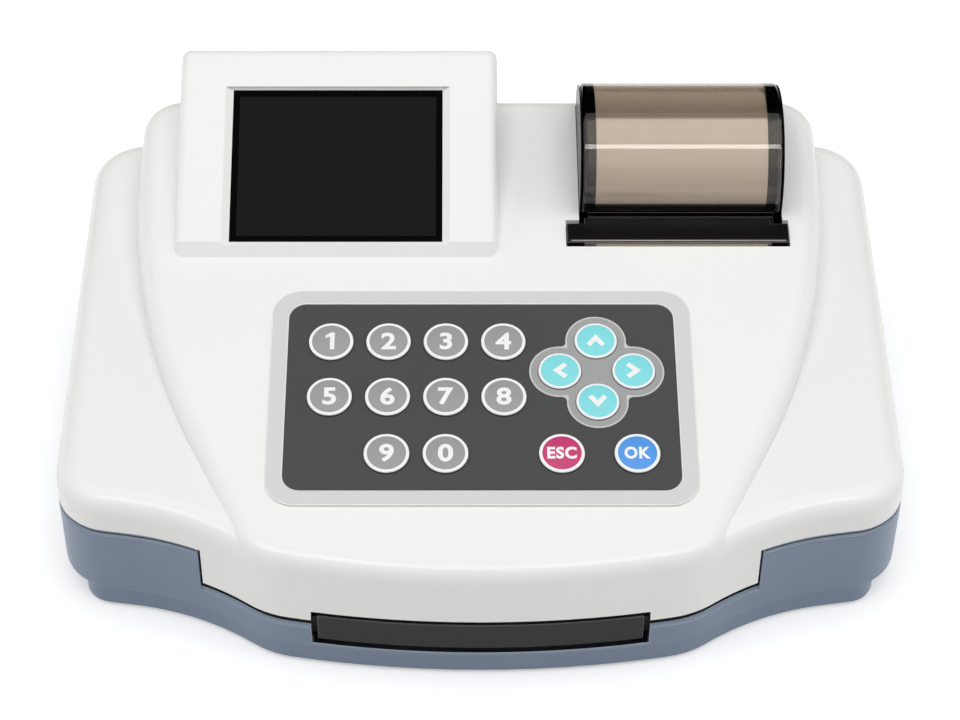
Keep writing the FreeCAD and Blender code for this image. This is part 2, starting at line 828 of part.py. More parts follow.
def drive_axis_z():
    return platen_z - gear_module * (platen_teeth + drive_teeth) / 2


def gear_wire(teeth, module, phase, x, y, z):
    # straight-flanked teeth, a little thin so that a pair runs free
    pitch = module * teeth / 2
    addendum_share = 0.85
    dedendum_share = 1.15
    radii = [pitch - dedendum_share * module, pitch + addendum_share * module]
    root_share = 0.30
    tip_share = 0.13
    points = []
    for tooth in range(teeth):
        middle = phase + 2 * math.pi * tooth / teeth
        step = 2 * math.pi / teeth
        for radius, share in ((radii[0], -root_share), (radii[1], -tip_share),
                              (radii[1], tip_share), (radii[0], root_share)):
            angle = middle + share * step
            points.append(vec(x, y + radius * math.cos(angle), z + radius * math.sin(angle)))
    return Part.makePolygon(points + points[:1])


def gear(teeth, module, phase, x0, x1, y, z):
    return Part.Face(gear_wire(teeth, module, phase, x0, y, z)).extrude(vec(x1 - x0, 0, 0))


def make_printer_drive(parts):
    left = dome_left - dome_gap + slide_gap
    gear_x1 = left - slide_gap
    gear_x0 = gear_x1 - gear_width
    down = -math.pi / 2
    step = 2 * math.pi / platen_teeth
    wheel = gear(platen_teeth, gear_module, down + step / 2, gear_x0, gear_x1, platen_y, platen_z)
    parts["platen_gear"] = wheel.cut(rod_x(shaft_radius, gear_x0, gear_x1, platen_y, platen_z))
    axis_z = drive_axis_z()
    drive = gear(drive_teeth, gear_module, math.pi / 2, gear_x0, gear_x1, platen_y, axis_z)
    stub_end = left + motor_plate + motor_length / 2 - slide_gap
    parts["printer_gear"] = fuse(drive, rod_x(shaft_radius, gear_x0, stub_end, platen_y, axis_z))
    roller_x0 = dome_middle_x - platen_length / 2
    roller_x1 = roller_x0 + platen_length
    roller = rod_x(platen_radius, roller_x0, roller_x1, platen_y, platen_z)
    parts["platen_roller"] = roller.cut(rod_x(shaft_radius, roller_x0, roller_x1, platen_y, platen_z))
    parts["platen_shaft"] = rod_x(shaft_radius, gear_x0, roller_x1 + bracket_width + slide_gap * 2,
                                  platen_y, platen_z)


def make_roll(parts):
    x0 = dome_middle_x - paper_width / 2
    x1 = x0 + paper_width
    roll = rod_x(paper_radius, x0, x1, roll_axis_y, roll_axis_z)
    parts["paper_roll"] = roll.cut(rod_x(core_radius, x0, x1, roll_axis_y, roll_axis_z))
    core = rod_x(core_radius, x0, x1, roll_axis_y, roll_axis_z)
    parts["roll_core"] = core.cut(rod_x(core_bore, x0, x1, roll_axis_y, roll_axis_z))
    front = roll_axis_y - paper_radius - slide_gap
    low = platen_z - platen_radius - head_gap - paper_thickness
    exit_y = bar_front_y - bar_gap / 2
    t = paper_thickness
    top = deck_height(exit_y)
    path = [(front, roll_axis_z - core_radius), (front, low + platen_radius),
            (front - platen_radius, low), (exit_y + bar_gap, low), (exit_y, low + bar_gap),
            (exit_y, top), (exit_y + t, top),
            (exit_y + t, low + bar_gap + t), (exit_y + bar_gap, low + t),
            (front - platen_radius - t, low + t), (front - t, low + platen_radius),
            (front - t, roll_axis_z - core_radius)]
    parts["paper_web"] = side_prism(path, x0, x1)


def make_door_bar(parts):
    x0 = bar_left
    x1 = bar_left + bar_width
    y0 = bar_front_y
    y1 = bar_front_y + bar_length
    top = bar_above
    low = -bar_below
    points = [(y0, deck_height(y0) + low), (y0, deck_height(y0) + top / 2),
              (y0 + top, deck_height(y0) + top), (y1, deck_height(y1) + top),
              (y1, deck_height(y1) + low)]
    bar = side_prism(points, x0, x1)
    for ear_x in (x0, x1 - bar_ear_width):
        step = box(ear_x, ear_x + bar_ear_width, y1 - bar_ear_step, y1 + overrun, platen_z, roll_axis_z)
        bar = bar.cut(step)
    neck_x0 = dome_left + bar_ear_step
    neck_x1 = dome_right - bar_ear_step
    ring = rod_x(dome_radius, neck_x0, neck_x1, roll_axis_y, roll_axis_z)
    ring = ring.cut(rod_x(dome_radius - dome_wall, neck_x0, neck_x1, roll_axis_y, roll_axis_z))
    neck = ring.common(box(neck_x0, neck_x1, y0, roll_axis_y, deck_height(y1) + low, dome_front_z))
    joint = box(neck_x0, neck_x1, y1 - bar_ear_step, roll_axis_y - dome_radius + dome_wall,
                deck_height(y1) + low, deck_height(y1))
    bar = bar.fuse(neck).fuse(joint)
    roller_x0 = dome_middle_x - platen_length / 2
    roller_x1 = roller_x0 + platen_length
    arm_half = platen_radius - bracket_wall
    for bracket_x in (roller_x0 - slide_gap - bracket_width, roller_x1 + slide_gap):
        bracket_end = bracket_x + bracket_width
        arm = box(bracket_x, bracket_end, platen_y - arm_half, platen_y + arm_half,
                  platen_z, deck_height(y0))
        foot = rod_x(arm_half + bracket_wall / 2, bracket_x, bracket_end, platen_y, platen_z)
        bore = rod_x(shaft_radius + shaft_fit, bracket_x, bracket_end, platen_y, platen_z)
        bar = bar.fuse(arm).fuse(foot).cut(bore)
    parts["door_bar"] = bar.removeSplitter()
    blade_top = deck_height(y0) + bar_above / 2 - seat_gap
    parts["tear_blade"] = box(x0 + bar_ear_width, x1 - bar_ear_width, y0 - blade_thickness, y0,
                              blade_top - blade_height, blade_top)


def make_lower_shell(parts):
    def ring(top):
        low = prism(0, plinth_height, top - lip_height)
        return low.fuse(prism(lip_inset, top - lip_height, top))
    front = box(-notch_half_width, notch_half_width, -overrun, notch_depth, 0, top_inset_height)
    shell = ring(band_top).cut(front).fuse(ring(front_split).common(front))
    shell = shell.cut(prism(shell_wall, floor_top, top_inset_height))
    slot = box(-slot_half_width, slot_half_width, -overrun, shell_wall + overrun / 2,
               floor_top, top_inset_height)
    shell = shell.cut(slot)
    inner_y = overall_depth - shell_wall
    for x, width, z0, height in socket_places():
        hole = box(x - width / 2 - socket_gap, x + width / 2 + socket_gap, inner_y - seat_gap,
                   overall_depth + overrun, z0 - socket_gap, z0 + height + socket_gap)
        shell = shell.cut(hole)
    half_w = switch_width / 2 + seat_gap
    half_h = switch_height / 2 + seat_gap
    shell = shell.cut(box(switch_x - half_w, switch_x + half_w, inner_y - seat_gap, overall_depth + overrun,
                          switch_z - half_h, switch_z + half_h))
    half_w = half_w + switch_flange
    half_h = half_h + switch_flange
    pocket_y = overall_depth - 2 * switch_flange
    shell = shell.cut(box(switch_x - half_w, switch_x + half_w, pocket_y, overall_depth + overrun,
                          switch_z - half_h, switch_z + half_h))
    board_z = floor_top + main_height
    for x, y in board_posts():
        shell = shell.fuse(rod_z(post_radius, x, y, floor_top - seat_gap, board_z))
    for x, y in screw_places():
        shell = shell.cut(rod_z(screw_radius + seat_gap, x, y, 0, floor_top + overrun))
    parts["lower_shell"] = shell.removeSplitter()


def screw_places():
    return [(side * screw_x, y) for side in (-1, 1) for y in (screw_front_y, screw_rear_y)]


def foot_places():
    return [(side * foot_x, y) for side in (-1, 1) for y in (foot_front_y, foot_rear_y)]


def board_posts():
    inset = 2 * post_radius
    xs = (main_left + inset, main_left + main_width - inset)
    ys = (main_front_y + inset, board_rear_y() - 3 * inset)
    return [(x, y) for x in xs for y in ys]


def board_rear_y():
    return overall_depth - shell_wall - main_rear_gap


def socket_places():
    base = floor_top + main_height + board_thickness
    sockets = []
    for share, width, height in ((serial_share, serial_width, serial_height),
                                 (usb_share, usb_width, usb_height), (jack_share, jack_width, jack_height)):
        sockets.append((main_left + share * main_width, width, base, height))
    return sockets


def make_base_plate(parts):
    plate = plinth_prism(plinth_inset, 0, plinth_height)
    plate = plate.cut(plinth_prism(plinth_inset + plinth_floor, plinth_floor, plinth_height + overrun))
    for x, y in screw_places():
        plate = plate.fuse(rod_z(screw_boss + seat_gap, x, y, 0, plinth_height))
        plate = plate.cut(rod_z(screw_radius + seat_gap, x, y, -overrun, plinth_height + overrun))
        seat = rod_z(screw_head_radius + slide_gap, x, y, -overrun, screw_sink + screw_head_height)
        plate = plate.cut(seat)
    for x, y in foot_places():
        plate = plate.cut(rod_z(foot_radius + seat_gap, x, y, -overrun, foot_pocket))
    parts["base_plate"] = plate.removeSplitter()
    feet = [rod_z(foot_radius, x, y, -foot_drop, foot_pocket) for x, y in foot_places()]
    parts["rubber_feet"] = Part.makeCompound(feet)
    screws = []
    for x, y in screw_places():
        head = rod_z(screw_head_radius, x, y, screw_sink, screw_sink + screw_head_height)
        slot_half = screw_slot_width / 2
        head = head.cut(box(x - screw_head_radius, x + screw_head_radius, y - slot_half, y + slot_half,
                            screw_sink, screw_sink + screw_head_height / 2))
        top = screw_sink + screw_head_height
        screws.append(fuse(head, rod_z(screw_radius, x, y, top, top + screw_length)))
    parts["case_screws"] = Part.makeCompound(screws)


def make_upper_shell(parts):
    outer = cover_form(0)
    pedestal_y = rear_wall_y(deck_height(overall_depth))
    pedestal = box(hood_left, hood_left + hood_width, pedestal_y - 2 * deck_edge_radius,
                   overall_depth + overrun, band_top, top_inset_height)
    pedestal = pedestal.common(below_plane(deck_height, 0))
    outer = outer.fuse(pedestal.common(cover_tower(0)))
    shell = outer.cut(cover_form(shell_wall))
    for x, y in screw_places():
        post = rod_z(screw_boss, x, y, floor_top, top_inset_height).common(outer)
        shell = shell.fuse(post)
    skirt = box(-notch_half_width + notch_gap, notch_half_width - notch_gap, -overrun, notch_depth,
                -overrun, top_inset_height)
    below = box(-overall_width, overall_width, -overrun, overall_depth + overrun, -overrun, cover_bottom)
    trim = below.cut(skirt)
    for x, y in screw_places():
        trim = trim.cut(rod_z(screw_boss, x, y, -overrun, top_inset_height))
    shell = shell.cut(trim)
    notch = box(-notch_half_width, notch_half_width, -overrun, notch_depth, -overrun, skirt_bottom)
    shell = shell.cut(notch)
    shell = shell.cut(box(-slot_half_width, slot_half_width, -overrun, shell_wall + overrun / 2,
                          -overrun, slot_top))
    for x, y in screw_places():
        hole_top = screw_sink + screw_head_height + screw_length + screw_boss
        shell = shell.cut(rod_z(screw_radius + screw_fit, x, y, 0, hole_top))
    shell = shell.cut(on_deck(panel_plate(seat_gap, -overrun, overrun)))
    x0, x1, s0, s1 = board_bounds()
    for x in (x0 + boss_radius, x1 - boss_radius):
        for s in (s0 + boss_radius, s1 - boss_radius):
            shell = shell.fuse(on_deck(rod_z(boss_radius, x, s, mat_bottom, -shell_wall / 2)))
    hood_x0 = hood_left + hood_sill
    hood_x1 = hood_left + hood_width - hood_sill
    shell = shell.cut(box(hood_x0, hood_x1, hood_front_y + hood_sill, pedestal_y - hood_sill,
                          cover_bottom, top_inset_height))
    well_x0 = dome_left - dome_gap
    well_x1 = dome_right + dome_gap
    well_y = bar_front_y + bar_length
    deck_low = deck_height(bar_front_y) - deck_edge_radius
    well_end = overall_depth - 2 * shell_wall
    shell = shell.cut(box(well_x0, well_x1, well_y, well_end, deck_low, top_inset_height))
    well_end = overall_depth + overrun
    shell = shell.cut(box(well_x0, well_x1, well_y, well_end, well_sill, top_inset_height))
    bar_hole = box(bar_left - slide_gap, bar_left + bar_width + slide_gap, bar_front_y - bar_gap,
                   well_y + slide_gap, deck_low - shell_wall, top_inset_height)
    shell = shell.cut(bar_hole)
    parts["upper_shell"] = shell.removeSplitter()


tray_bottom = floor_top + tray_lift
tray_top = tray_bottom + tray_height
rack_pitch_z = tray_top + rack_base + rack_module
pinion_radius = rack_module * pinion_teeth / 2
pinion_z = rack_pitch_z + pinion_radius
rack_x1 = tray_half_width - rack_inset
rack_x0 = rack_x1 - rack_width


def make_tray(parts):
    face_radius = bow_radius - tray_front_recess
    back_radius = face_radius - tray_front_thickness
    centre = vec(0, bow_radius, 0)
    face = Part.makeCylinder(face_radius, top_inset_height, centre, z_axis)
    inside = Part.makeCylinder(back_radius, top_inset_height, centre, z_axis)
    front_z = floor_top + tray_front_lift
    front = box(-tray_front_width / 2, tray_front_width / 2, -overrun, overrun,
                front_z, front_z + tray_front_height)
    parts["tray_front"] = front.common(face).cut(inside)
    body = box(-tray_half_width, tray_half_width, -overrun, tray_rear_y, tray_bottom, tray_top)
    reach = tray_half_width + runner_reach
    runner_z = tray_bottom + runner_lift
    runners = box(-reach, reach, rail_front_y, tray_rear_y, runner_z, runner_z + runner_height)
    body = body.common(inside).fuse(runners)
    floor = tray_bottom + basin_floor
    basin = box(-basin_half_width, basin_half_width, basin_front_y, basin_rear_y, floor, tray_top + overrun)
    parts["strip_tray"] = body.cut(basin).removeSplitter()
    half = insert_width / 2
    insert = box(-half, half, basin_front_y + insert_margin, basin_rear_y - insert_margin,
                 floor, floor + insert_height)
    channel = box(-channel_width / 2, channel_width / 2, 0, basin_rear_y - 2 * insert_margin,
                  floor + insert_height - channel_depth, tray_top)
    parts["strip_insert"] = insert.cut(channel)
    pad_x = (half + basin_half_width) / 2
    pad_y = basin_rear_y - insert_margin
    parts["reference_pad"] = box(pad_x - pad_size / 2, pad_x + pad_size / 2, pad_y - pad_size, pad_y,
                                 floor, floor + pad_thickness)
    pitch = math.pi * rack_module
    points = [(rack_front_y, tray_top)]
    count = int((tray_rear_y - rack_front_y) / pitch)
    root_z = rack_pitch_z - rack_module
    tip_share = 0.85
    tip_z = rack_pitch_z + tip_share * rack_module
    root_share = 0.30
    crest_share = 0.13
    offset = (pinion_y - rack_front_y) / pitch
    first = math.ceil(root_share - offset) + offset
    for tooth in range(count):
        middle = rack_front_y + (first + tooth) * pitch
        if middle + root_share * pitch > tray_rear_y:
            break
        points += [(middle - root_share * pitch, root_z), (middle - crest_share * pitch, tip_z),
                   (middle + crest_share * pitch, tip_z), (middle + root_share * pitch, root_z)]
    points = [points[0], (rack_front_y, root_z)] + points[1:]
    points += [(tray_rear_y, root_z), (tray_rear_y, tray_top)]
    parts["tray_rack"] = side_prism(points, rack_x0, rack_x1)
    step = math.pi / pinion_teeth
    pinion = gear(pinion_teeth, rack_module, -math.pi / 2 + step, rack_x0, rack_x1, pinion_y, pinion_z)
    shaft_end = rail_outer + leg_width + tray_motor_length / 2
    parts["tray_pinion"] = fuse(pinion, rod_x(tray_shaft_radius, rack_x0, shaft_end, pinion_y, pinion_z))


def make_chassis(parts):
    pieces = []
    rail_top = floor_top + rail_height
    inner = tray_half_width + slide_gap
    groove = inner + runner_reach
    runner_z = tray_bottom + runner_lift
    for side in (-1, 1):
        x0, x1 = sorted((side * inner, side * rail_outer))
        rail = box(x0, x1, rail_front_y, rail_rear_y, floor_top, rail_top)
        g0, g1 = sorted((0, side * groove))
        rail = rail.cut(box(g0, g1, rail_front_y, rail_rear_y, runner_z - slide_gap,
                            runner_z + runner_height + slide_gap))
        pieces.append(rail)
        leg0, leg1 = sorted((side * (rail_outer - leg_width), side * rail_outer))
        pieces.append(box(leg0, leg1, bridge_front_y, bridge_front_y + bridge_length, rail_top,
                          rail_top + bridge_clearance))
    bridge_z = rail_top + bridge_clearance
    beam = box(-rail_outer, rail_outer, bridge_front_y, bridge_front_y + bridge_length,
               bridge_z, bridge_z + bridge_thickness)
    middle_y = bridge_front_y + bridge_length / 2
    beam = beam.cut(rod_z(lens_radius + seat_gap, 0, middle_y, 0, top_inset_height))
    pieces.append(beam)
    bracket_y = pinion_y - tray_motor_radius
    bracket = box(rail_outer, rail_outer + leg_width, bracket_y, pinion_y + tray_motor_radius,
                  floor_top, pinion_z + tray_motor_radius)
    bracket = bracket.cut(rod_x(2 * tray_shaft_radius, 0, overall_width, pinion_y, pinion_z))
    pieces.append(bracket)
    parts["tray_chassis"] = fuse(*pieces)
    motor_x0 = rail_outer + leg_width
    motor = rod_x(tray_motor_radius, motor_x0, motor_x0 + tray_motor_length, pinion_y, pinion_z)
    bore = rod_x(tray_shaft_radius + tray_shaft_fit, motor_x0, motor_x0 + tray_motor_length / 2 + slide_gap,
                 pinion_y, pinion_z)
    parts["tray_motor"] = motor.cut(bore)
    head_z = bridge_z + bridge_thickness
    head_y0 = bridge_front_y + optics_margin
    head_y1 = bridge_front_y + bridge_length - optics_margin
    head = box(-optics_half_width, optics_half_width, head_y0, head_y1, head_z, head_z + optics_height)
    head = head.cut(rod_z(lens_radius - optics_margin, 0, middle_y, 0, head_z + optics_height / 2))
    parts["optics_head"] = head
    parts["optics_lens"] = rod_z(lens_radius, 0, middle_y, bridge_z, head_z)
    reach = optics_half_width + optics_margin
    parts["optics_board"] = box(-reach, reach, bridge_front_y, bridge_front_y + bridge_length,
                                head_z + optics_height, head_z + optics_height + board_thickness)


def make_electrics(parts):
    z0 = floor_top + main_height
    top = z0 + board_thickness
    rear = board_rear_y()
    board = box(main_left, main_left + main_width, main_front_y, rear, z0, top)
    chip_shares = ((0.25, 0.30, 0.14, 0.22, 0.03), (0.55, 0.35, 0.10, 0.16, 0.02),
                   (0.80, 0.30, 0.06, 0.10, 0.08))
    depth = rear - main_front_y
    for x_share, y_share, w_share, d_share, h_share in chip_shares:
        x = main_left + x_share * main_width
        y = main_front_y + y_share * depth
        chip = box(x, x + w_share * main_width, y, y + d_share * depth, z0, top + h_share * depth)
        board = board.fuse(chip)
    parts["main_board"] = board.removeSplitter()
    face_y = overall_depth - socket_recess
    names = ("serial_port", "usb_port", "power_inlet")
    for name, (x, width, base, height) in zip(names, socket_places()):
        parts[name] = box(x - width / 2, x + width / 2, face_y - socket_depth, face_y, base, base + height)
    x, width, base, height = socket_places()[1]
    mouth = box(x - width / 2 + usb_rim, x + width / 2 - usb_rim, face_y - socket_depth / 2, face_y,
                base + usb_rim, base + height - usb_rim)
    tongue = box(x - width / 2 + 2 * usb_rim, x + width / 2 - 2 * usb_rim, face_y - socket_depth / 2, face_y,
                 base + height / 2 - usb_rim / 2, base + height / 2 + usb_rim / 2)
    parts["usb_port"] = parts["usb_port"].cut(mouth).fuse(tongue).removeSplitter()
    x, width, base, height = socket_places()[2]
    start = vec(x, face_y - socket_depth / 2, base + height / 2)
    bore = Part.makeCylinder(jack_bore, socket_depth / 2, start, y_axis)
    pin = Part.makeCylinder(jack_pin, socket_depth / 2, start, y_axis)
    parts["power_inlet"] = parts["power_inlet"].cut(bore).fuse(pin).removeSplitter()
    x, width, base, height = socket_places()[0]
    for row, count in ((1, 5), (-1, 4)):
        for pin in range(count):
            pin_x = x + (pin - (count - 1) / 2) * serial_pin_pitch
            start = vec(pin_x, face_y - socket_depth / 2, base + (height + row * serial_pin_pitch) / 2)
            hole = Part.makeCylinder(serial_pin_radius, socket_depth / 2, start, y_axis)
            parts["serial_port"] = parts["serial_port"].cut(hole)


rocker_axis_y = overall_depth - 2 * switch_flange - rocker_depth / 2


def make_switch(parts):
    flange_y1 = overall_depth - switch_flange
    flange_y0 = flange_y1 - switch_flange
    half_w = switch_width / 2
    half_h = switch_height / 2
    body = box(switch_x - half_w, switch_x + half_w, flange_y0 - switch_depth, flange_y1,
               switch_z - half_h, switch_z + half_h)
    flange = box(switch_x - half_w - switch_flange, switch_x + half_w + switch_flange, flange_y0, flange_y1,
                 switch_z - half_h - switch_flange, switch_z + half_h + switch_flange)
    hollow_w = rocker_width / 2 + rocker_gap
    hollow_h = rocker_height / 2 + slide_gap
    hollow = box(switch_x - hollow_w, switch_x + hollow_w, rocker_axis_y - 2 * rocker_depth,
                 overall_depth + overrun, switch_z - hollow_h, switch_z + hollow_h)
    body = body.fuse(flange).cut(hollow)
    pivot_foot = vec(switch_x, rocker_axis_y, switch_z - half_h)
    pivot = Part.makeCylinder(pin_radius, switch_height, pivot_foot, z_axis)
    body = body.fuse(pivot)
    parts["switch_housing"] = body.removeSplitter()
    half = rocker_width / 2
    rise = half * math.tan(math.radians(rocker_tilt))
    face = rocker_axis_y + rocker_depth / 2
    back = rocker_axis_y - rocker_depth / 2
    trim = rocker_depth * math.tan(math.radians(rocker_tilt))
    corners = [(-half, face + rise), (0, face), (half, face + rise)]
    corners += [(half - trim, back), (-half + trim, back)]
    points = [vec(switch_x + x, y, switch_z - rocker_height / 2) for x, y in corners]
    rocker = Part.Face(Part.makePolygon(points + points[:1])).extrude(vec(0, 0, rocker_height))
    rocker = rocker.cut(Part.makeCylinder(pin_radius + pin_fit, switch_height, pivot_foot, z_axis))
    rocker.rotate(vec(switch_x, rocker_axis_y, switch_z), z_axis, -rocker_tilt)
    parts["power_rocker"] = rocker


def main():
    parts = {}
    make_upper_shell(parts)
    make_screen(parts)
    make_keypad(parts)
    make_lower_shell(parts)
    make_base_plate(parts)
    make_tray(parts)
    make_chassis(parts)
    make_cradle(parts)
    make_dome(parts)
    make_roll(parts)
    make_printer_drive(parts)
    make_door_bar(parts)
    make_electrics(parts)
    make_switch(parts)
    os.makedirs("parts", exist_ok=True)
    for name, shape in parts.items():
        placed = shape.copy()
        placed.translate(vec(0, -overall_depth / 2, foot_drop))
        placed.exportStep("parts/" + name + ".step")
        print(name, len(placed.Solids), placed.isValid(), round(placed.Volume, 1))


main()
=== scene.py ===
import json
from math import cos, pi, radians, sin, tan

import bmesh
import bpy
from mathutils import Matrix, Vector

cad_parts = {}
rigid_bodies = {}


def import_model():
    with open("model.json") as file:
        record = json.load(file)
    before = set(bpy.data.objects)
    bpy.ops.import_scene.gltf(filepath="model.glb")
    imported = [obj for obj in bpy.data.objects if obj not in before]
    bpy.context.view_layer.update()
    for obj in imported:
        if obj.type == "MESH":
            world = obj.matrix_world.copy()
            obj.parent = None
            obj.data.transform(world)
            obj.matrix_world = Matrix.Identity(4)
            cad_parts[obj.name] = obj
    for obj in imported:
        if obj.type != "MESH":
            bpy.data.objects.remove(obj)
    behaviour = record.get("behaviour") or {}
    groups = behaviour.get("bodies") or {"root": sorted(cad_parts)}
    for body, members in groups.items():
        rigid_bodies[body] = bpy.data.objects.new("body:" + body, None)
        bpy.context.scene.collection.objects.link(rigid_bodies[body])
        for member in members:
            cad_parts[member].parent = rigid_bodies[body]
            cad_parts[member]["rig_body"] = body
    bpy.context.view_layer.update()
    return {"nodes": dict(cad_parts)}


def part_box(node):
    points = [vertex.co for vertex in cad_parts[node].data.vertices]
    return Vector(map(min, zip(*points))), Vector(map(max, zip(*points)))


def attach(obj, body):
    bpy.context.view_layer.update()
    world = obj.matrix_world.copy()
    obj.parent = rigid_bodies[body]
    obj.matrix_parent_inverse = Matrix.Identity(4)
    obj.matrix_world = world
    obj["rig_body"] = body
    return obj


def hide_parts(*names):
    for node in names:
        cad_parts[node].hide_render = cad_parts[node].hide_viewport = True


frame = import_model()
nodes = frame["nodes"]
mm = 0.001
print("frame loaded with", len(nodes), "nodes")


# small helpers for node trees and meshes

def addNode(tree, kind, values=None, **settings):
    node = tree.nodes.new(kind)
    for name, value in settings.items():
        setattr(node, name, value)
    for socket, value in (values or {}).items():
        node.inputs[socket].default_value = value
    return node


def newGroup(name, inputs, outputs):
    group = bpy.data.node_groups.new(name, "ShaderNodeTree")
    for label, kind, value in inputs:
        socket = group.interface.new_socket(name=label, in_out="INPUT", socket_type=kind)
        socket.default_value = value
    for label, kind in outputs:
        group.interface.new_socket(name=label, in_out="OUTPUT", socket_type=kind)
    return group, group.nodes.new("NodeGroupInput"), group.nodes.new("NodeGroupOutput")


def maths(tree, operation, first, second=None):
    node = addNode(tree, "ShaderNodeMath", operation=operation)
    for index, value in enumerate((first, second)):
        if value is None:
            continue
        if isinstance(value, (int, float)):
            node.inputs[index].default_value = value
        else:
            tree.links.new(value, node.inputs[index])
    return node.outputs[0]


def addGroup(tree, group, **values):
    node = tree.nodes.new("ShaderNodeGroup")
    node.node_tree = group
    for label, value in values.items():
        node.inputs[label].default_value = value
    return node


def newMaterial(name, roughness=0.5, **sockets):
    material = bpy.data.materials.new(name)
    material.use_nodes = True
    tree = material.node_tree
    shader = tree.nodes["Principled BSDF"]
    shader.inputs["Roughness"].default_value = roughness
    for label, value in sockets.items():
        shader.inputs[label.replace("_", " ")].default_value = value
    return material, tree, shader


def objectPlace(tree):
    return addNode(tree, "ShaderNodeTexCoord").outputs["Object"]


def axesOf(tree, vector):
    split = addNode(tree, "ShaderNodeSeparateXYZ")
    tree.links.new(vector, split.inputs["Vector"])
    return split.outputs


# noise runs from 0 to 1, so half of it is taken off before it lifts and lowers something
def swing(tree, noise, amount):
    return maths(tree, "MULTIPLY", maths(tree, "SUBTRACT", noise.outputs[0], 0.5), amount)


def shaded(tree, colour, level):
    shade = addNode(tree, "ShaderNodeHueSaturation")
    tree.links.new(colour, shade.inputs["Color"])
    tree.links.new(maths(tree, "ADD", level, 1.0), shade.inputs["Value"])
    return shade.outputs["Color"]


# the second colour where the mask is 1
def mixColours(tree, mask, first, second):
    mix = addNode(tree, "ShaderNodeMix", data_type="RGBA")
    for label, colour in (("A", first), ("B", second)):
        if isinstance(colour, tuple):
            mix.inputs[label].default_value = colour
        else:
            tree.links.new(colour, mix.inputs[label])
    tree.links.new(mask, mix.inputs["Factor"])
    return mix.outputs["Result"]


def bumpFrom(tree, height, shader, strength, distance):
    bump = addNode(tree, "ShaderNodeBump", {"Strength": strength, "Distance": distance})
    tree.links.new(height, bump.inputs["Height"])
    tree.links.new(bump.outputs["Normal"], shader.inputs["Normal"])


def paint(material, *names):
    for name in names:
        mesh = nodes[name].data
        mesh.materials.clear()
        mesh.materials.append(material)


# moulded plastic: cloudy colour, uneven polish and the fine skin of the mould
def makeMouldedSkin():
    group, entry, leave = newGroup(
        "mouldedSkin",
        [("Colour", "NodeSocketColor", (0.8, 0.8, 0.8, 1)), ("Cloud", "NodeSocketFloat", 0.02),
         ("Polish", "NodeSocketFloat", 0.3), ("Unevenness", "NodeSocketFloat", 0.05),
         ("GrainScale", "NodeSocketFloat", 1500.0)],
        [("Colour", "NodeSocketColor"), ("Roughness", "NodeSocketFloat"), ("Height", "NodeSocketFloat")])
    link = group.links.new
    place = objectPlace(group)
    cloud = addNode(group, "ShaderNodeTexNoise", {"Scale": 21.0, "Detail": 3.0, "Roughness": 0.55})
    smear = addNode(group, "ShaderNodeTexNoise", {"Scale": 90.0, "Detail": 4.0, "Roughness": 0.6})
    grain = addNode(group, "ShaderNodeTexNoise", {"Detail": 2.0, "Roughness": 0.5})
    for texture in (cloud, smear, grain):
        link(place, texture.inputs["Vector"])
    link(entry.outputs["GrainScale"], grain.inputs["Scale"])
    level = swing(group, cloud, entry.outputs["Cloud"])
    polish = swing(group, smear, entry.outputs["Unevenness"])
    link(shaded(group, entry.outputs["Colour"], level), leave.inputs["Colour"])
    link(maths(group, "ADD", polish, entry.outputs["Polish"]), leave.inputs["Roughness"])
    link(grain.outputs[0], leave.inputs["Height"])
    return group


# long fine scratches along x, for drawn and brushed steel
steelPolish = 0.32


def makeBrushedGrain():
    group, entry, leave = newGroup(
        "brushedGrain",
        [("Colour", "NodeSocketColor", (0.6, 0.6, 0.6, 1)), ("Depth", "NodeSocketFloat", 0.2)],
        [("Colour", "NodeSocketColor"), ("Roughness", "NodeSocketFloat"), ("Height", "NodeSocketFloat")])
    link = group.links.new
    stretch = addNode(group, "ShaderNodeMapping", {"Scale": (40.0, 4000.0, 4000.0)})
    scratch = addNode(group, "ShaderNodeTexNoise", {"Scale": 1.0, "Detail": 3.0})
    link(objectPlace(group), stretch.inputs["Vector"])
    link(stretch.outputs["Vector"], scratch.inputs["Vector"])
    lift = swing(group, scratch, entry.outputs["Depth"])
    link(shaded(group, entry.outputs["Colour"], lift), leave.inputs["Colour"])
    link(maths(group, "ADD", lift, steelPolish), leave.inputs["Roughness"])
    link(scratch.outputs[0], leave.inputs["Height"])
    return group


# soft specks and short fibres, for paper and card
def makeFibres():
    group, entry, leave = newGroup(
        "fibres",
        [("Colour", "NodeSocketColor", (0.8, 0.8, 0.8, 1)), ("Fleck", "NodeSocketFloat", 0.08),
         ("Scale", "NodeSocketFloat", 900.0)],
        [("Colour", "NodeSocketColor"), ("Height", "NodeSocketFloat")])
    link = group.links.new
    fibre = addNode(group, "ShaderNodeTexNoise", {"Detail": 6.0, "Roughness": 0.7, "Distortion": 1.4})
    link(objectPlace(group), fibre.inputs["Vector"])
    link(entry.outputs["Scale"], fibre.inputs["Scale"])
    level = swing(group, fibre, entry.outputs["Fleck"])
    link(shaded(group, entry.outputs["Colour"], level), leave.inputs["Colour"])
    link(fibre.outputs[0], leave.inputs["Height"])
    return group


mouldedSkin = makeMouldedSkin()
brushedGrain = makeBrushedGrain()
fibres = makeFibres()
print("node groups built")


grainDepth = {"scratch": 0.1 * mm, "skin": 0.2 * mm, "coarse": 0.3 * mm}


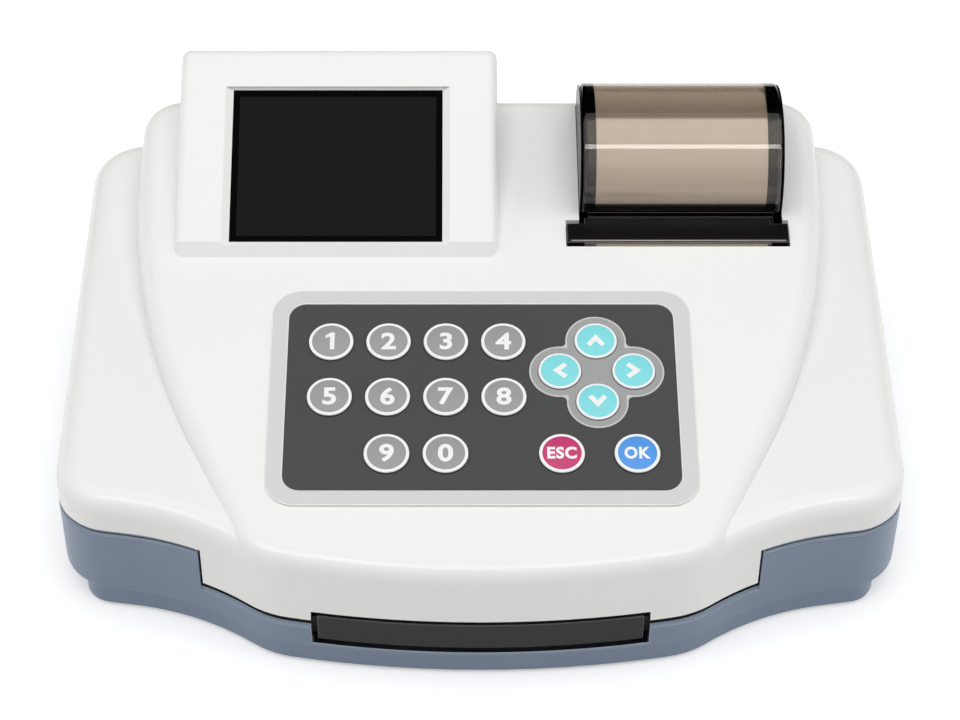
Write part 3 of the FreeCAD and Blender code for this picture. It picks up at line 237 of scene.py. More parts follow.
def skinOver(tree, shader, colour, polish, cloud, grain, bump, unevenness=0.03):
    skin = addGroup(tree, mouldedSkin, Cloud=cloud, Polish=polish, Unevenness=unevenness, GrainScale=grain)
    if isinstance(colour, tuple):
        skin.inputs["Colour"].default_value = (*colour, 1)
    else:
        tree.links.new(colour, skin.inputs["Colour"])
    tree.links.new(skin.outputs["Colour"], shader.inputs["Base Color"])
    tree.links.new(skin.outputs["Roughness"], shader.inputs["Roughness"])
    bumpFrom(tree, skin.outputs["Height"], shader, bump, grainDepth["skin"])


def plastic(name, colour, polish, cloud=0.03, unevenness=0.03, grain=1500.0, bump=0.05, shine=0.5):
    material, tree, shader = newMaterial(name, Specular_IOR_Level=shine)
    skinOver(tree, shader, colour, polish, cloud, grain, bump, unevenness)
    return material


def steel(name, colour, depth=0.25):
    material, tree, shader = newMaterial(name, Metallic=1.0)
    grain = addGroup(tree, brushedGrain, Colour=(*colour, 1), Depth=depth)
    tree.links.new(grain.outputs["Colour"], shader.inputs["Base Color"])
    tree.links.new(grain.outputs["Roughness"], shader.inputs["Roughness"])
    bumpFrom(tree, grain.outputs["Height"], shader, 0.08, grainDepth["scratch"])
    return material


coverWhite = plastic("coverWhite", (0.885, 0.89, 0.868), 0.26, cloud=0.008, unevenness=0.012, grain=700.0,
                     bump=0.01)
# painted highlight: lighter blue, silver and black for the eased edges
highlightEdgeBlue = plastic("highlightEdgeBlue", (0.290, 0.350, 0.455), 0.30, cloud=0.05, grain=2600.0, bump=0.03)
highlightEdgeSilver = plastic("highlightEdgeSilver", (0.90, 0.90, 0.90), 0.30, cloud=0.01, grain=3200.0, bump=0.02)
highlightEdgeBlack = plastic("highlightEdgeBlack", (0.045, 0.043, 0.042), 0.25, cloud=0.05, grain=2200.0, bump=0.02)
silverTrim = plastic("silverTrim", (0.66, 0.665, 0.665), 0.40, cloud=0.015, grain=3200.0, bump=0.04)
charcoalPanel = plastic("charcoalPanel", (0.057, 0.058, 0.058), 0.60, cloud=0.06, grain=2600.0, bump=0.10,
                        shine=0.3)
blackFront = plastic("blackFront", (0.015, 0.015, 0.015), 0.34, cloud=0.06, grain=2200.0, bump=0.06,
                     shine=0.22)
printerBlack = plastic("printerBlack", (0.003, 0.0028, 0.0026), 0.24, cloud=0.10, grain=1900.0, bump=0.04,
                       shine=0.10)
chassisBlack = plastic("chassisBlack", (0.03, 0.03, 0.032), 0.55, cloud=0.08, grain=1500.0, bump=0.12)
connectorBlack = plastic("connectorBlack", (0.02, 0.02, 0.02), 0.48, cloud=0.06, grain=1800.0, bump=0.08)
rockerBlack = plastic("rockerBlack", (0.022, 0.022, 0.022), 0.30, cloud=0.05, grain=1800.0, bump=0.04)
trayWhite = plastic("trayWhite", (0.72, 0.72, 0.70), 0.45, cloud=0.03, grain=1400.0, bump=0.05)
insertWhite = plastic("insertWhite", (0.80, 0.80, 0.78), 0.40, cloud=0.02, grain=1400.0, bump=0.04)
referenceWhite = plastic("referenceWhite", (0.88, 0.88, 0.86), 0.75, cloud=0.01, grain=2600.0, bump=0.05)
gearPlastic = plastic("gearPlastic", (0.68, 0.66, 0.58), 0.42, cloud=0.05, grain=1600.0, bump=0.05)
headCeramic = plastic("headCeramic", (0.58, 0.58, 0.56), 0.35, cloud=0.05, grain=2600.0, bump=0.05)
footRubber = plastic("footRubber", (0.02, 0.02, 0.02), 0.80, cloud=0.15, grain=1300.0, bump=0.35)
seamShadeBlack = plastic("seamShadeBlack", (0.004, 0.004, 0.004), 0.75, cloud=0.15, grain=1300.0, bump=0.2,
                       shine=0.1)
platenRubber = plastic("platenRubber", (0.035, 0.035, 0.035), 0.70, cloud=0.10, grain=2600.0, bump=0.20)
siliconeMat = plastic("siliconeMat", (0.5, 0.5, 0.5), 0.60, cloud=0.04, grain=1800.0, bump=0.10)
displayBody = plastic("displayBody", (0.02, 0.02, 0.022), 0.50, cloud=0.05, grain=1600.0, bump=0.08)
markWhite = plastic("markWhite", (0.82, 0.82, 0.82), 0.45, cloud=0.01, grain=1600.0, bump=0.03)
screwSteel = steel("screwSteel", (0.50, 0.50, 0.52))
motorSteel = steel("motorSteel", (0.50, 0.50, 0.50), 0.35)
shaftSteel = steel("shaftSteel", (0.62, 0.62, 0.62), 0.15)
bladeSteel = steel("bladeSteel", (0.30, 0.285, 0.27), 0.15)
connectorSteel = steel("connectorSteel", (0.60, 0.60, 0.60), 0.10)

# blue base, with painted shade: near black along the seam under the cover and inside the tray's slot
baseLook = {"blue": (0.178, 0.228, 0.318, 1), "dark": (0.004, 0.005, 0.007, 1), "seam": 34.05 * mm,
            "slotHalf": 53.04 * mm, "slotFloor": 10.60 * mm, "frontOnly": -80 * mm}


def makeBaseBlue():
    material, tree, shader = newMaterial("baseBlue")
    at = axesOf(tree, objectPlace(tree))
    across = maths(tree, "ABSOLUTE", at["X"])
    shadedSlot = maths(tree, "MULTIPLY", maths(tree, "LESS_THAN", across, baseLook["slotHalf"]),
                   maths(tree, "GREATER_THAN", at["Z"], baseLook["slotFloor"]))
    shadedSlot = maths(tree, "MULTIPLY", shadedSlot, maths(tree, "LESS_THAN", at["Y"], baseLook["frontOnly"]))
    shadedSeam = maths(tree, "GREATER_THAN", at["Z"], baseLook["seam"])
    # painted shade: near black in the slot and along the seam
    colour = mixColours(tree, maths(tree, "MAXIMUM", shadedSlot, shadedSeam), baseLook["blue"], baseLook["dark"])
    skinOver(tree, shader, colour, polish=0.36, cloud=0.05, grain=2600.0, bump=0.05)
    return material


baseBlue = makeBaseBlue()
paint(coverWhite, "upper_shell", "screen_hood")
paint(charcoalPanel, "keypad_panel")
paint(chassisBlack, "tray_chassis")
paint(gearPlastic, "tray_rack", "tray_pinion", "platen_gear", "printer_gear")
paint(headCeramic, "print_head")
paint(footRubber, "rubber_feet")
paint(platenRubber, "platen_roller")
paint(siliconeMat, "key_mat")
paint(displayBody, "lcd_panel")
paint(screwSteel, "case_screws")
paint(shaftSteel, "hinge_pin", "platen_shaft")
paint(bladeSteel, "tear_blade")
print("plastics and metals painted")


smoothBelow = radians(35)


def finishPiece(name, shape, material, body):
    mesh = bpy.data.meshes.new(name)
    shape.to_mesh(mesh)
    shape.free()
    piece = bpy.data.objects.new(name, mesh)
    bpy.context.scene.collection.objects.link(piece)
    mesh.materials.append(material)
    mesh.shade_smooth()
    mesh.set_sharp_from_angle(angle=smoothBelow)
    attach(piece, body)
    return piece


# a moulding without razor edges: a copy of the plain piece with its sharp edges eased, some given a painted
# highlight in a lighter colour
easing = {"mergeWithin": 0.002 * mm, "flatWithin": radians(0.5), "sharpFrom": radians(38), "segments": 2}
easedEdges = {
    "lower_shell": (baseBlue, "blue_base", 0.34, highlightEdgeBlue),
    "base_plate": (baseBlue, "blue_base", 0.42, highlightEdgeBlue),
    "keypad_frame": (silverTrim, "silver_trim", 0.28, highlightEdgeSilver),
    "tray_front": (blackFront, "black_front", 0.35, highlightEdgeBlack),
    "door_bar": (printerBlack, "printer_black", 0.28, highlightEdgeBlack),
    "roll_cradle": (printerBlack, "printer_black", 0.3),
    "strip_tray": (trayWhite, "tray_white", 0.4), "strip_insert": (insertWhite, "insert_white", 0.3),
    "reference_pad": (referenceWhite, "reference_white", 0.2),
    "optics_head": (chassisBlack, "chassis_black", 0.5),
    "switch_housing": (connectorBlack, "connector_black", 0.25),
    "power_rocker": (rockerBlack, "rocker_black", 0.4),
    "serial_port": (connectorBlack, "connector_black", 0.2),
    "usb_port": (connectorSteel, "connector_steel", 0.15),
    "power_inlet": (connectorBlack, "connector_black", 0.3),
    "tray_motor": (motorSteel, "motor_steel", 0.5), "printer_motor": (motorSteel, "motor_steel", 0.4)}


def mergedCopy(name):
    shape = bmesh.new()
    shape.from_mesh(nodes[name].data)
    bmesh.ops.remove_doubles(shape, verts=shape.verts, dist=easing["mergeWithin"])
    bmesh.ops.dissolve_limit(shape, angle_limit=easing["flatWithin"], verts=shape.verts, edges=shape.edges)
    bmesh.ops.recalc_face_normals(shape, faces=shape.faces)
    return shape


def easeEdges(name, material, slot, width, edge=None):
    piece = finishPiece(name + "_eased", mergedCopy(name), material, nodes[name]["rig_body"])
    bevel = piece.modifiers.new("easedEdges", "BEVEL")
    bevel.width = width * mm
    bevel.segments = easing["segments"]
    bevel.limit_method = "ANGLE"
    bevel.angle_limit = easing["sharpFrom"]
    bevel.use_clamp_overlap = False
    bevel.harden_normals = True
    # the eased edges take the lighter colour, a painted highlight
    if edge:
        piece.data.materials.append(edge)
        bevel.material = 1
    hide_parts(name)


for name, look in easedEdges.items():
    easeEdges(name, *look)
print("edges eased on", len(easedEdges), "pieces")


def raiseFaces(shape, faces, rise, **settings):
    grown = bmesh.ops.extrude_face_region(shape, geom=faces, **settings)
    top = [v for v in grown["geom"] if isinstance(v, bmesh.types.BMVert)]
    bmesh.ops.translate(shape, vec=(0, 0, rise), verts=top)
    return [f for f in grown["geom"] if isinstance(f, bmesh.types.BMFace)]


# a face that is sunk into a solid goes, so that none is left inside
def sinkFaces(shape, faces, depth):
    sunk = raiseFaces(shape, faces, -depth)
    bmesh.ops.delete(shape, geom=faces, context="FACES_ONLY")
    return sunk


def softenRim(shape, faces, width):
    top = {v for face in faces for v in face.verts}
    rim = [e for e in shape.edges if e.verts[0] in top and e.verts[1] in top]
    bmesh.ops.bevel(shape, geom=rim, offset=width, affect="EDGES", segments=2, profile=0.5, material=-1)


# black strip in the seam under the cover's front skirt, on the lip of the base: painted shade that stands in
# for the shadow in the gap
seamStrip = {"lipTop": 19.1, "within": 0.05, "halfWidth": 88.6, "frontOnly": -40.0, "height": 2.42, "lift": 0.03}


def makeSeamShadeStrip():
    shape = mergedCopy("lower_shell")
    onLip = []
    for face in shape.faces:
        middle = face.calc_center_median() / mm
        level = max(abs(v.co.z / mm - seamStrip["lipTop"]) for v in face.verts)
        inFront = middle.y < seamStrip["frontOnly"] and abs(middle.x) < seamStrip["halfWidth"]
        if inFront and level < seamStrip["within"]:
            onLip.append(face)
    bmesh.ops.delete(shape, geom=list(set(shape.faces) - set(onLip)), context="FACES")
    raiseFaces(shape, shape.faces[:], seamStrip["height"] * mm, use_keep_orig=True)
    bmesh.ops.translate(shape, vec=(0, 0, seamStrip["lift"] * mm), verts=shape.verts)
    bmesh.ops.recalc_face_normals(shape, faces=shape.faces)
    finishPiece("seam_shade_strip", shape, seamShadeBlack, "housing")


makeSeamShadeStrip()
print("seam gasket laid")


# circuit boards: green solder mask, copper runs under it and a few pale pads
boardLook = {"mask": (0.012, 0.10, 0.045, 1), "copper": (0.03, 0.19, 0.09, 1), "pad": (0.55, 0.52, 0.42, 1),
             "runScale": 260.0, "padScale": 190.0, "runEdge": 0.55, "padSize": 0.13}


def makeBoardGreen():
    material, tree, shader = newMaterial("boardGreen", 0.34)
    place = objectPlace(tree)
    runs = addNode(tree, "ShaderNodeTexVoronoi", {"Scale": boardLook["runScale"], "Randomness": 0.35},
                   distance="MANHATTAN")
    pads = addNode(tree, "ShaderNodeTexVoronoi", {"Scale": boardLook["padScale"], "Randomness": 0.6})
    tree.links.new(place, runs.inputs["Vector"])
    tree.links.new(place, pads.inputs["Vector"])
    track = maths(tree, "GREATER_THAN", runs.outputs["Distance"], boardLook["runEdge"])
    dot = maths(tree, "LESS_THAN", pads.outputs["Distance"], boardLook["padSize"])
    ground = mixColours(tree, track, boardLook["mask"], boardLook["copper"])
    tree.links.new(mixColours(tree, dot, ground, boardLook["pad"]), shader.inputs["Base Color"])
    bumpFrom(tree, track, shader, 0.3, grainDepth["scratch"])
    return material


paint(makeBoardGreen(), "key_board", "main_board", "optics_board")


# thermal paper, with the wound edge of the roll as fine rings on its ends
rollLook = {"axis": (66.0 * mm, 78.4 * mm), "paper": (0.78, 0.74, 0.68), "rings": 5200.0, "ringDepth": 0.25}


def makePaper(name, colour, wound):
    material, tree, shader = newMaterial(name, 0.62)
    grain = addGroup(tree, fibres, Colour=(*colour, 1), Fleck=0.05, Scale=700.0)
    tree.links.new(grain.outputs["Colour"], shader.inputs["Base Color"])
    height = grain.outputs["Height"]
    if wound:
        at = axesOf(tree, objectPlace(tree))
        y = maths(tree, "SUBTRACT", at["Y"], rollLook["axis"][0])
        z = maths(tree, "SUBTRACT", at["Z"], rollLook["axis"][1])
        reach = maths(tree, "SQRT", maths(tree, "ADD", maths(tree, "MULTIPLY", y, y),
                                          maths(tree, "MULTIPLY", z, z)))
        ring = maths(tree, "SINE", maths(tree, "MULTIPLY", reach, rollLook["rings"]))
        height = maths(tree, "ADD", maths(tree, "MULTIPLY", ring, rollLook["ringDepth"]), height)
    bumpFrom(tree, height, shader, 0.15, grainDepth["skin"])
    return material


paint(makePaper("rollPaper", rollLook["paper"], True), "paper_roll")
paint(makePaper("webPaper", (0.62, 0.53, 0.43), False), "paper_web")


def makeCoreCard():
    material, tree, shader = newMaterial("coreCard", 0.85)
    grain = addGroup(tree, fibres, Colour=(0.42, 0.33, 0.23, 1), Fleck=0.5, Scale=420.0)
    tree.links.new(grain.outputs["Colour"], shader.inputs["Base Color"])
    bumpFrom(tree, grain.outputs["Height"], shader, 0.4, grainDepth["coarse"])
    return material


paint(makeCoreCard(), "roll_core")
print("boards and paper painted")


# smoke-tinted cover: clear moulding, lighter in a round-cornered field on its front that is a painted
# reflection of a softbox; elsewhere the tint is darker towards the top and near black at the ends and below the
# field
coverLook = {"axis": (66.0 * mm, 78.4 * mm), "radius": 25.4 * mm, "middle": 67.4 * mm,
             "halfWide": 33.4 * mm, "sideWide": 4.6 * mm, "corner": 3.2 * mm, "edge": 0.12 * mm,
             "darkFrom": -8, "turn": 18.4, "end": 89.0, "hazeScale": 60.0, "hazeDepth": 0.05,
             "light": (0.69, 0.60, 0.515, 1), "deep": (0.46, 0.385, 0.32, 1),
             "deeper": (0.19, 0.15, 0.12, 1), "side": (0.012, 0.011, 0.010, 1),
             "low": (0.022, 0.019, 0.017, 1), "shadow": (0.95, 0.935, 0.92, 1)}


def makeSmoke():
    material, tree, shader = newMaterial("smokeClear", 0.03, IOR=1.49, Transmission_Weight=1.0,
                                         Specular_IOR_Level=0.36)
    place = objectPlace(tree)
    at = axesOf(tree, place)
    ahead = maths(tree, "SUBTRACT", coverLook["axis"][0], at["Y"])
    up = maths(tree, "SUBTRACT", at["Z"], coverLook["axis"][1])
    along = maths(tree, "MULTIPLY", maths(tree, "ARCTAN2", ahead, up), coverLook["radius"])
    across = maths(tree, "ABSOLUTE", maths(tree, "SUBTRACT", at["X"], coverLook["middle"]))
    # distance into the field from its round-cornered edge
    corner, radius = coverLook["corner"], coverLook["radius"]
    darkFrom, turn, end = (radians(coverLook[name]) * radius for name in ("darkFrom", "turn", "end"))
    overX = maths(tree, "MAXIMUM", maths(tree, "SUBTRACT", across, coverLook["halfWide"] - corner), 0.0)
    middle = (turn + end) / 2
    half = (end - turn) / 2 - corner
    fromMiddle = maths(tree, "ABSOLUTE", maths(tree, "SUBTRACT", along, middle))
    overS = maths(tree, "MAXIMUM", maths(tree, "SUBTRACT", fromMiddle, half), 0.0)
    reach = maths(tree, "SQRT", maths(tree, "ADD", maths(tree, "MULTIPLY", overX, overX),
                                      maths(tree, "MULTIPLY", overS, overS)))
    # painted reflection: the round-cornered field is lighter than the rest of the cover
    reflectionField = addNode(tree, "ShaderNodeMapRange", {"From Min": corner + coverLook["edge"],
                                                 "From Max": corner - coverLook["edge"]})
    tree.links.new(reach, reflectionField.inputs["Value"])
    darker = addNode(tree, "ShaderNodeMapRange", {"From Min": darkFrom, "From Max": turn})
    tree.links.new(along, darker.inputs["Value"])
    colour = mixColours(tree, darker.outputs["Result"], coverLook["deep"], coverLook["deeper"])
    onSide = maths(tree, "GREATER_THAN", across, coverLook["halfWide"] - coverLook["sideWide"])
    colour = mixColours(tree, onSide, colour, coverLook["side"])
    colour = mixColours(tree, maths(tree, "GREATER_THAN", along, middle), colour, coverLook["low"])
    colour = mixColours(tree, reflectionField.outputs["Result"], colour, coverLook["light"])
    tree.links.new(colour, shader.inputs["Base Color"])
    haze = addNode(tree, "ShaderNodeTexNoise", {"Scale": coverLook["hazeScale"], "Detail": 3.0})
    tree.links.new(place, haze.inputs["Vector"])
    tree.links.new(maths(tree, "MULTIPLY", haze.outputs[0], coverLook["hazeDepth"]), shader.inputs["Roughness"])
    bumpFrom(tree, haze.outputs[0], shader, 0.02, grainDepth["coarse"])
    # lamps reach the paper through the cover
    rays = addNode(tree, "ShaderNodeLightPath")
    clear = addNode(tree, "ShaderNodeBsdfTransparent", {"Color": coverLook["shadow"]})
    pick = addNode(tree, "ShaderNodeMixShader")
    through = maths(tree, "MAXIMUM", rays.outputs["Is Shadow Ray"], rays.outputs["Is Diffuse Ray"])
    tree.links.new(through, pick.inputs["Fac"])
    tree.links.new(shader.outputs["BSDF"], pick.inputs[1])
    tree.links.new(clear.outputs["BSDF"], pick.inputs[2])
    tree.links.new(pick.outputs["Shader"], tree.nodes["Material Output"].inputs["Surface"])
    return material


paint(makeSmoke(), "printer_cover")


def makeLens():
    material, tree, shader = newMaterial("lensClear", 0.02, IOR=1.52, Transmission_Weight=1.0)
    coat = addGroup(tree, mouldedSkin, Colour=(0.72, 0.82, 0.84, 1), Cloud=0.05, Polish=0.02, Unevenness=0.02)
    tree.links.new(coat.outputs["Colour"], shader.inputs["Base Color"])
    tree.links.new(coat.outputs["Roughness"], shader.inputs["Roughness"])
    return material


paint(makeLens(), "optics_lens")


# Object coordinates turned so that x runs across a tilted face, y up its slope and z out of it
def alongFace(tree, corner, tilt):
    turn = Matrix.Rotation(-tilt, 3, "X")
    flat = addNode(tree, "ShaderNodeMapping", {"Location": -(turn @ corner), "Rotation": (-tilt, 0, 0)})
    tree.links.new(objectPlace(tree), flat.inputs["Vector"])
    return flat.outputs["Vector"]


# screen pane: near-black glass with the picture area a little lighter inside a black border
screenLook = {"corner": Vector((0, 26.9, 74.896)) * mm, "tilt": radians(25.6),
              "left": -80.8 * mm, "right": -14.5 * mm, "low": 2.8 * mm, "high": 53.9 * mm,
              "border": (0.0006, 0.0006, 0.0006, 1), "picture": (0.0105, 0.0105, 0.0125, 1),
              "polish": 0.05, "smearScale": 30.0, "smearDepth": 0.03}


def makePane():
    material, tree, shader = newMaterial("paneBlack", 0.08, Specular_IOR_Level=0.03)
    at = axesOf(tree, alongFace(tree, screenLook["corner"], screenLook["tilt"]))
    middleX = (screenLook["left"] + screenLook["right"]) / 2
    middleS = (screenLook["low"] + screenLook["high"]) / 2
    wide = maths(tree, "ABSOLUTE", maths(tree, "SUBTRACT", at["X"], middleX))
    tall = maths(tree, "ABSOLUTE", maths(tree, "SUBTRACT", at["Y"], middleS))
    inside = maths(tree, "MULTIPLY", maths(tree, "LESS_THAN", wide, screenLook["right"] - middleX),
                   maths(tree, "LESS_THAN", tall, screenLook["high"] - middleS))
    colour = mixColours(tree, inside, screenLook["border"], screenLook["picture"])
    tree.links.new(colour, shader.inputs["Base Color"])
    smear = addNode(tree, "ShaderNodeTexNoise", {"Scale": screenLook["smearScale"], "Detail": 2.0})
    tree.links.new(objectPlace(tree), smear.inputs["Vector"])
    rough = maths(tree, "MULTIPLY", smear.outputs[0], screenLook["smearDepth"])
    tree.links.new(maths(tree, "ADD", rough, screenLook["polish"]), shader.inputs["Roughness"])
    return material


paint(makePane(), "screen_window")
print("glass painted")


# keys: a white-ringed cap with a coloured face let into it and a raised legend
deck = {"corner": Vector((0, -90.7, 48.2)) * mm, "tilt": radians(11)}
toDeck = Matrix.Translation(deck["corner"]) @ Matrix.Rotation(deck["tilt"], 4, "X")
# the side colour below is painted shade for the caps' sides
keys = {"pitch": 18.53, "rowPitch": 21.49, "firstX": -48.05, "firstRow": 38.98, "padX": 37.4, "padRow": 70.4,
        "reach": 11.85, "top": 1.3, "faceRadius": 6.16, "arrowFaceRadius": 6.1, "faceHeight": 0.08,
        "faceSoften": 0.05, "ringDrop": 0.42, "side": (0.13, 0.13, 0.135, 1), "ring": (0.92, 0.925, 0.925, 1)}
lettering = {"raise": 0.07, "spacing": 1.12, "mergeWithin": 1e-5, "digitTall": 6.66, "digitWeight": 0.030,
             "digitStretch": 1.10, "wordTall": 4.5, "wordWeight": 0.040, "escWide": 9.3, "okWide": 8.2}
keyFaces = {
    "grey": plastic("keyGrey", (0.325, 0.330, 0.328), 0.46, cloud=0.10, grain=1500.0, bump=0.08),
    "cyan": plastic("keyCyan", (0.225, 0.735, 0.775), 0.42, cloud=0.06, grain=1500.0, bump=0.08),
    "magenta": plastic("keyMagenta", (0.570, 0.036, 0.165), 0.42, cloud=0.10, grain=1500.0, bump=0.08),
    "blue": plastic("keyBlue", (0.080, 0.32, 0.81), 0.42, cloud=0.08, grain=1500.0, bump=0.08)}
legendWhite = plastic("legendWhite", (0.90, 0.90, 0.90), 0.42, cloud=0.01, grain=1600.0, bump=0.03)


# the ring round the face is white on top of the cap; the cap's sides are a dark grey that is painted shade
def makeShadedKeyCap():
    material, tree, shader = newMaterial("shadedKeyCap")
    at = axesOf(tree, alongFace(tree, deck["corner"], deck["tilt"]))
    onTop = maths(tree, "GREATER_THAN", at["Z"], (keys["top"] - keys["ringDrop"]) * mm)
    # painted shade: below the ring the cap's sides take the dark side colour
    colour = mixColours(tree, onTop, keys["side"], keys["ring"])
    skinOver(tree, shader, colour, polish=0.36, cloud=0.03, grain=1500.0, bump=0.04)
    return material


# the grey pad round the arrows has a painted highlight: a lighter line along its edge
arrowPad = {"lobe": 9.8, "centreDisc": 11.85, "line": 0.5, "blend": 2.2, "pad": (0.345, 0.35, 0.348, 1),
            "rim": (0.60, 0.60, 0.60, 1)}


def makeArrowPad():
    material, tree, shader = newMaterial("greyPad")
    flatten = addNode(tree, "ShaderNodeMapping", {"Scale": (1, 1, 0)})
    tree.links.new(alongFace(tree, deck["corner"], deck["tilt"]), flatten.inputs["Vector"])
    middle = (keys["padX"], keys["padRow"])
    reach = keys["reach"]
    discs = [(0, 0, arrowPad["centreDisc"])]
    discs += [(dx * reach, dy * reach, arrowPad["lobe"]) for dx, dy in ((1, 0), (-1, 0), (0, 1), (0, -1))]
    nearest = None
    for dx, dy, radius in discs:
        away = addNode(tree, "ShaderNodeVectorMath", operation="DISTANCE")
        away.inputs[1].default_value = Vector((middle[0] + dx, middle[1] + dy, 0)) * mm
        tree.links.new(flatten.outputs["Vector"], away.inputs[0])
        outside = maths(tree, "SUBTRACT", away.outputs["Value"], radius * mm)
        if nearest is None:
            nearest = outside
        else:
            nearest = maths(tree, "SMOOTH_MIN", nearest, outside)
            nearest.node.inputs[2].default_value = arrowPad["blend"] * mm
    # painted highlight: the line along the pad's edge is lighter
    highlightLine = maths(tree, "GREATER_THAN", nearest, -arrowPad["line"] * mm)
    colour = mixColours(tree, highlightLine, arrowPad["pad"], arrowPad["rim"])
    skinOver(tree, shader, colour, polish=0.46, cloud=0.05, grain=2400.0, bump=0.05)
    return material


shadedKeyCap = makeShadedKeyCap()
paint(makeArrowPad(), "arrow_pad")


def keyPlaces():
    columns = [keys["firstX"] + keys["pitch"] * step for step in range(4)]
    rows = [keys["firstRow"] + keys["rowPitch"] * step for step in (2, 1, 0)]
    places = {name: (columns[step], rows[0], "grey") for step, name in enumerate("1234")}
    places.update({name: (columns[step], rows[1], "grey") for step, name in enumerate("5678")})
    places["9"] = (columns[1], rows[2], "grey")
    places["0"] = (columns[2], rows[2], "grey")
    places["esc"] = (keys["padX"] - keys["reach"], rows[2], "magenta")
    places["ok"] = (keys["padX"] + keys["reach"], rows[2], "blue")
    places["left"] = (keys["padX"] - keys["reach"], keys["padRow"], "cyan")
    places["right"] = (keys["padX"] + keys["reach"], keys["padRow"], "cyan")
    places["up"] = (keys["padX"], keys["padRow"] + keys["reach"], "cyan")
    places["down"] = (keys["padX"], keys["padRow"] - keys["reach"], "cyan")
    return places


def discShape(radius, height, soften):
    shape = bmesh.new()
    bmesh.ops.create_circle(shape, cap_ends=True, segments=72, radius=radius)
    softenRim(shape, raiseFaces(shape, shape.faces[:], height), soften)
    bmesh.ops.recalc_face_normals(shape, faces=shape.faces)
    return shape


def wordShape(word, tall, height, weight, wide=None):
    curve = bpy.data.curves.new("word", "FONT")
    curve.body = word
    curve.align_x = "CENTER"
    curve.space_character = lettering["spacing"]
    curve.bevel_depth = weight
    curve.bevel_resolution = 1
    written = bpy.data.objects.new("word", curve)
    bpy.context.scene.collection.objects.link(written)
    bpy.context.view_layer.update()
    mesh = bpy.data.meshes.new_from_object(written.evaluated_get(bpy.context.evaluated_depsgraph_get()))
    bpy.data.objects.remove(written)
    bpy.data.curves.remove(curve)
    shape = bmesh.new()
    shape.from_mesh(mesh)
    bpy.data.meshes.remove(mesh)
    bmesh.ops.remove_doubles(shape, verts=shape.verts, dist=lettering["mergeWithin"])
    low = Vector([min(v.co[axis] for v in shape.verts) for axis in range(3)])
    high = Vector([max(v.co[axis] for v in shape.verts) for axis in range(3)])
    size = high - low
    grow = tall / size.y
    bmesh.ops.translate(shape, vec=-(low + high) / 2, verts=shape.verts)
    stretch = wide / size.x if wide else grow * lettering["digitStretch"]
    bmesh.ops.scale(shape, vec=(stretch, grow, 2 * height / size.z), verts=shape.verts)
    bmesh.ops.recalc_face_normals(shape, faces=shape.faces)
    return shape


def raisedShape(outline, height):
    shape = bmesh.new()
    corners = [shape.verts.new((x, y, -height)) for x, y in outline]
    shape.faces.new(corners)
    raiseFaces(shape, shape.faces[:], 2 * height, use_keep_orig=True)
    bmesh.ops.recalc_face_normals(shape, faces=shape.faces)
    return shape


chevron = {"halfWide": 3.05, "tall": 4.7, "stroke": 1.6, "slope": 51}
figureOne = {"stem": 1.45, "flagReach": 1.5, "flagDrop": 1.7, "flagThick": 1.15, "offset": 0.35, "nick": 0.15,
             "tipAbove": 0.45, "tipBelow": 0.6, "rootDrop": 0.35}


def chevronShape(turn, height):
    slope = radians(chevron["slope"])
    half = chevron["stroke"] / 2
    endX = chevron["halfWide"] - half * sin(slope)
    top = chevron["tall"] / 2
    apex = top - half / cos(slope)
    endY = apex - endX * tan(slope)
    right = [(endX + half * sin(slope), endY + half * cos(slope)),
             (endX - half * sin(slope), endY - half * cos(slope))]
    outline = [(0, top)] + right + [(0, apex - half / cos(slope))] + [(-x, y) for x, y in reversed(right)]
    shape = raisedShape(outline, height)
    bmesh.ops.rotate(shape, cent=(0, 0, 0), matrix=Matrix.Rotation(turn, 3, "Z"), verts=shape.verts)
    return shape


def figureOneShape(height):
    tall = lettering["digitTall"] / 2
    right = figureOne["stem"] / 2 + figureOne["offset"]
    left = right - figureOne["stem"]
    tip = left - figureOne["flagReach"]
    flag = tall - figureOne["flagDrop"]
    root = tall - figureOne["flagThick"] - figureOne["rootDrop"]
    outline = [(right, -tall), (right, tall), (left + figureOne["nick"], tall),
               (tip, flag + figureOne["tipAbove"]), (tip, flag - figureOne["tipBelow"]),
               (left, root), (left, -tall)]
    return raisedShape(outline, height)


turns = {"up": 0, "left": pi / 2, "down": pi, "right": -pi / 2}
for name, (x, s, shade) in keyPlaces().items():
    body = "key_" + name + "_cap"
    paint(shadedKeyCap, "key_" + name)
    radius = keys["arrowFaceRadius"] if name in turns else keys["faceRadius"]
    face = discShape(radius * mm, keys["faceHeight"] * mm, keys["faceSoften"] * mm)
    place = toDeck @ Matrix.Translation(Vector((x, s, keys["top"])) * mm)
    bmesh.ops.transform(face, matrix=place, verts=face.verts)
    finishPiece("keyFace_" + name, face, keyFaces[shade], body)
    if name in turns:
        legend = chevronShape(turns[name], lettering["raise"])
    elif name in ("esc", "ok"):
        legend = wordShape(name.upper(), lettering["wordTall"], lettering["raise"], lettering["wordWeight"],
                           lettering[name + "Wide"])
    elif name == "1":
        legend = figureOneShape(lettering["raise"])
    else:
        legend = wordShape(name, lettering["digitTall"], lettering["raise"], lettering["digitWeight"])
    bmesh.ops.scale(legend, vec=(mm, mm, mm), verts=legend.verts)
    place = toDeck @ Matrix.Translation(Vector((x, s, keys["top"] + keys["faceHeight"])) * mm)
    bmesh.ops.transform(legend, matrix=place, verts=legend.verts)
    finishPiece("keyLegend_" + name, legend, legendWhite, body)
print("keys faced and lettered")


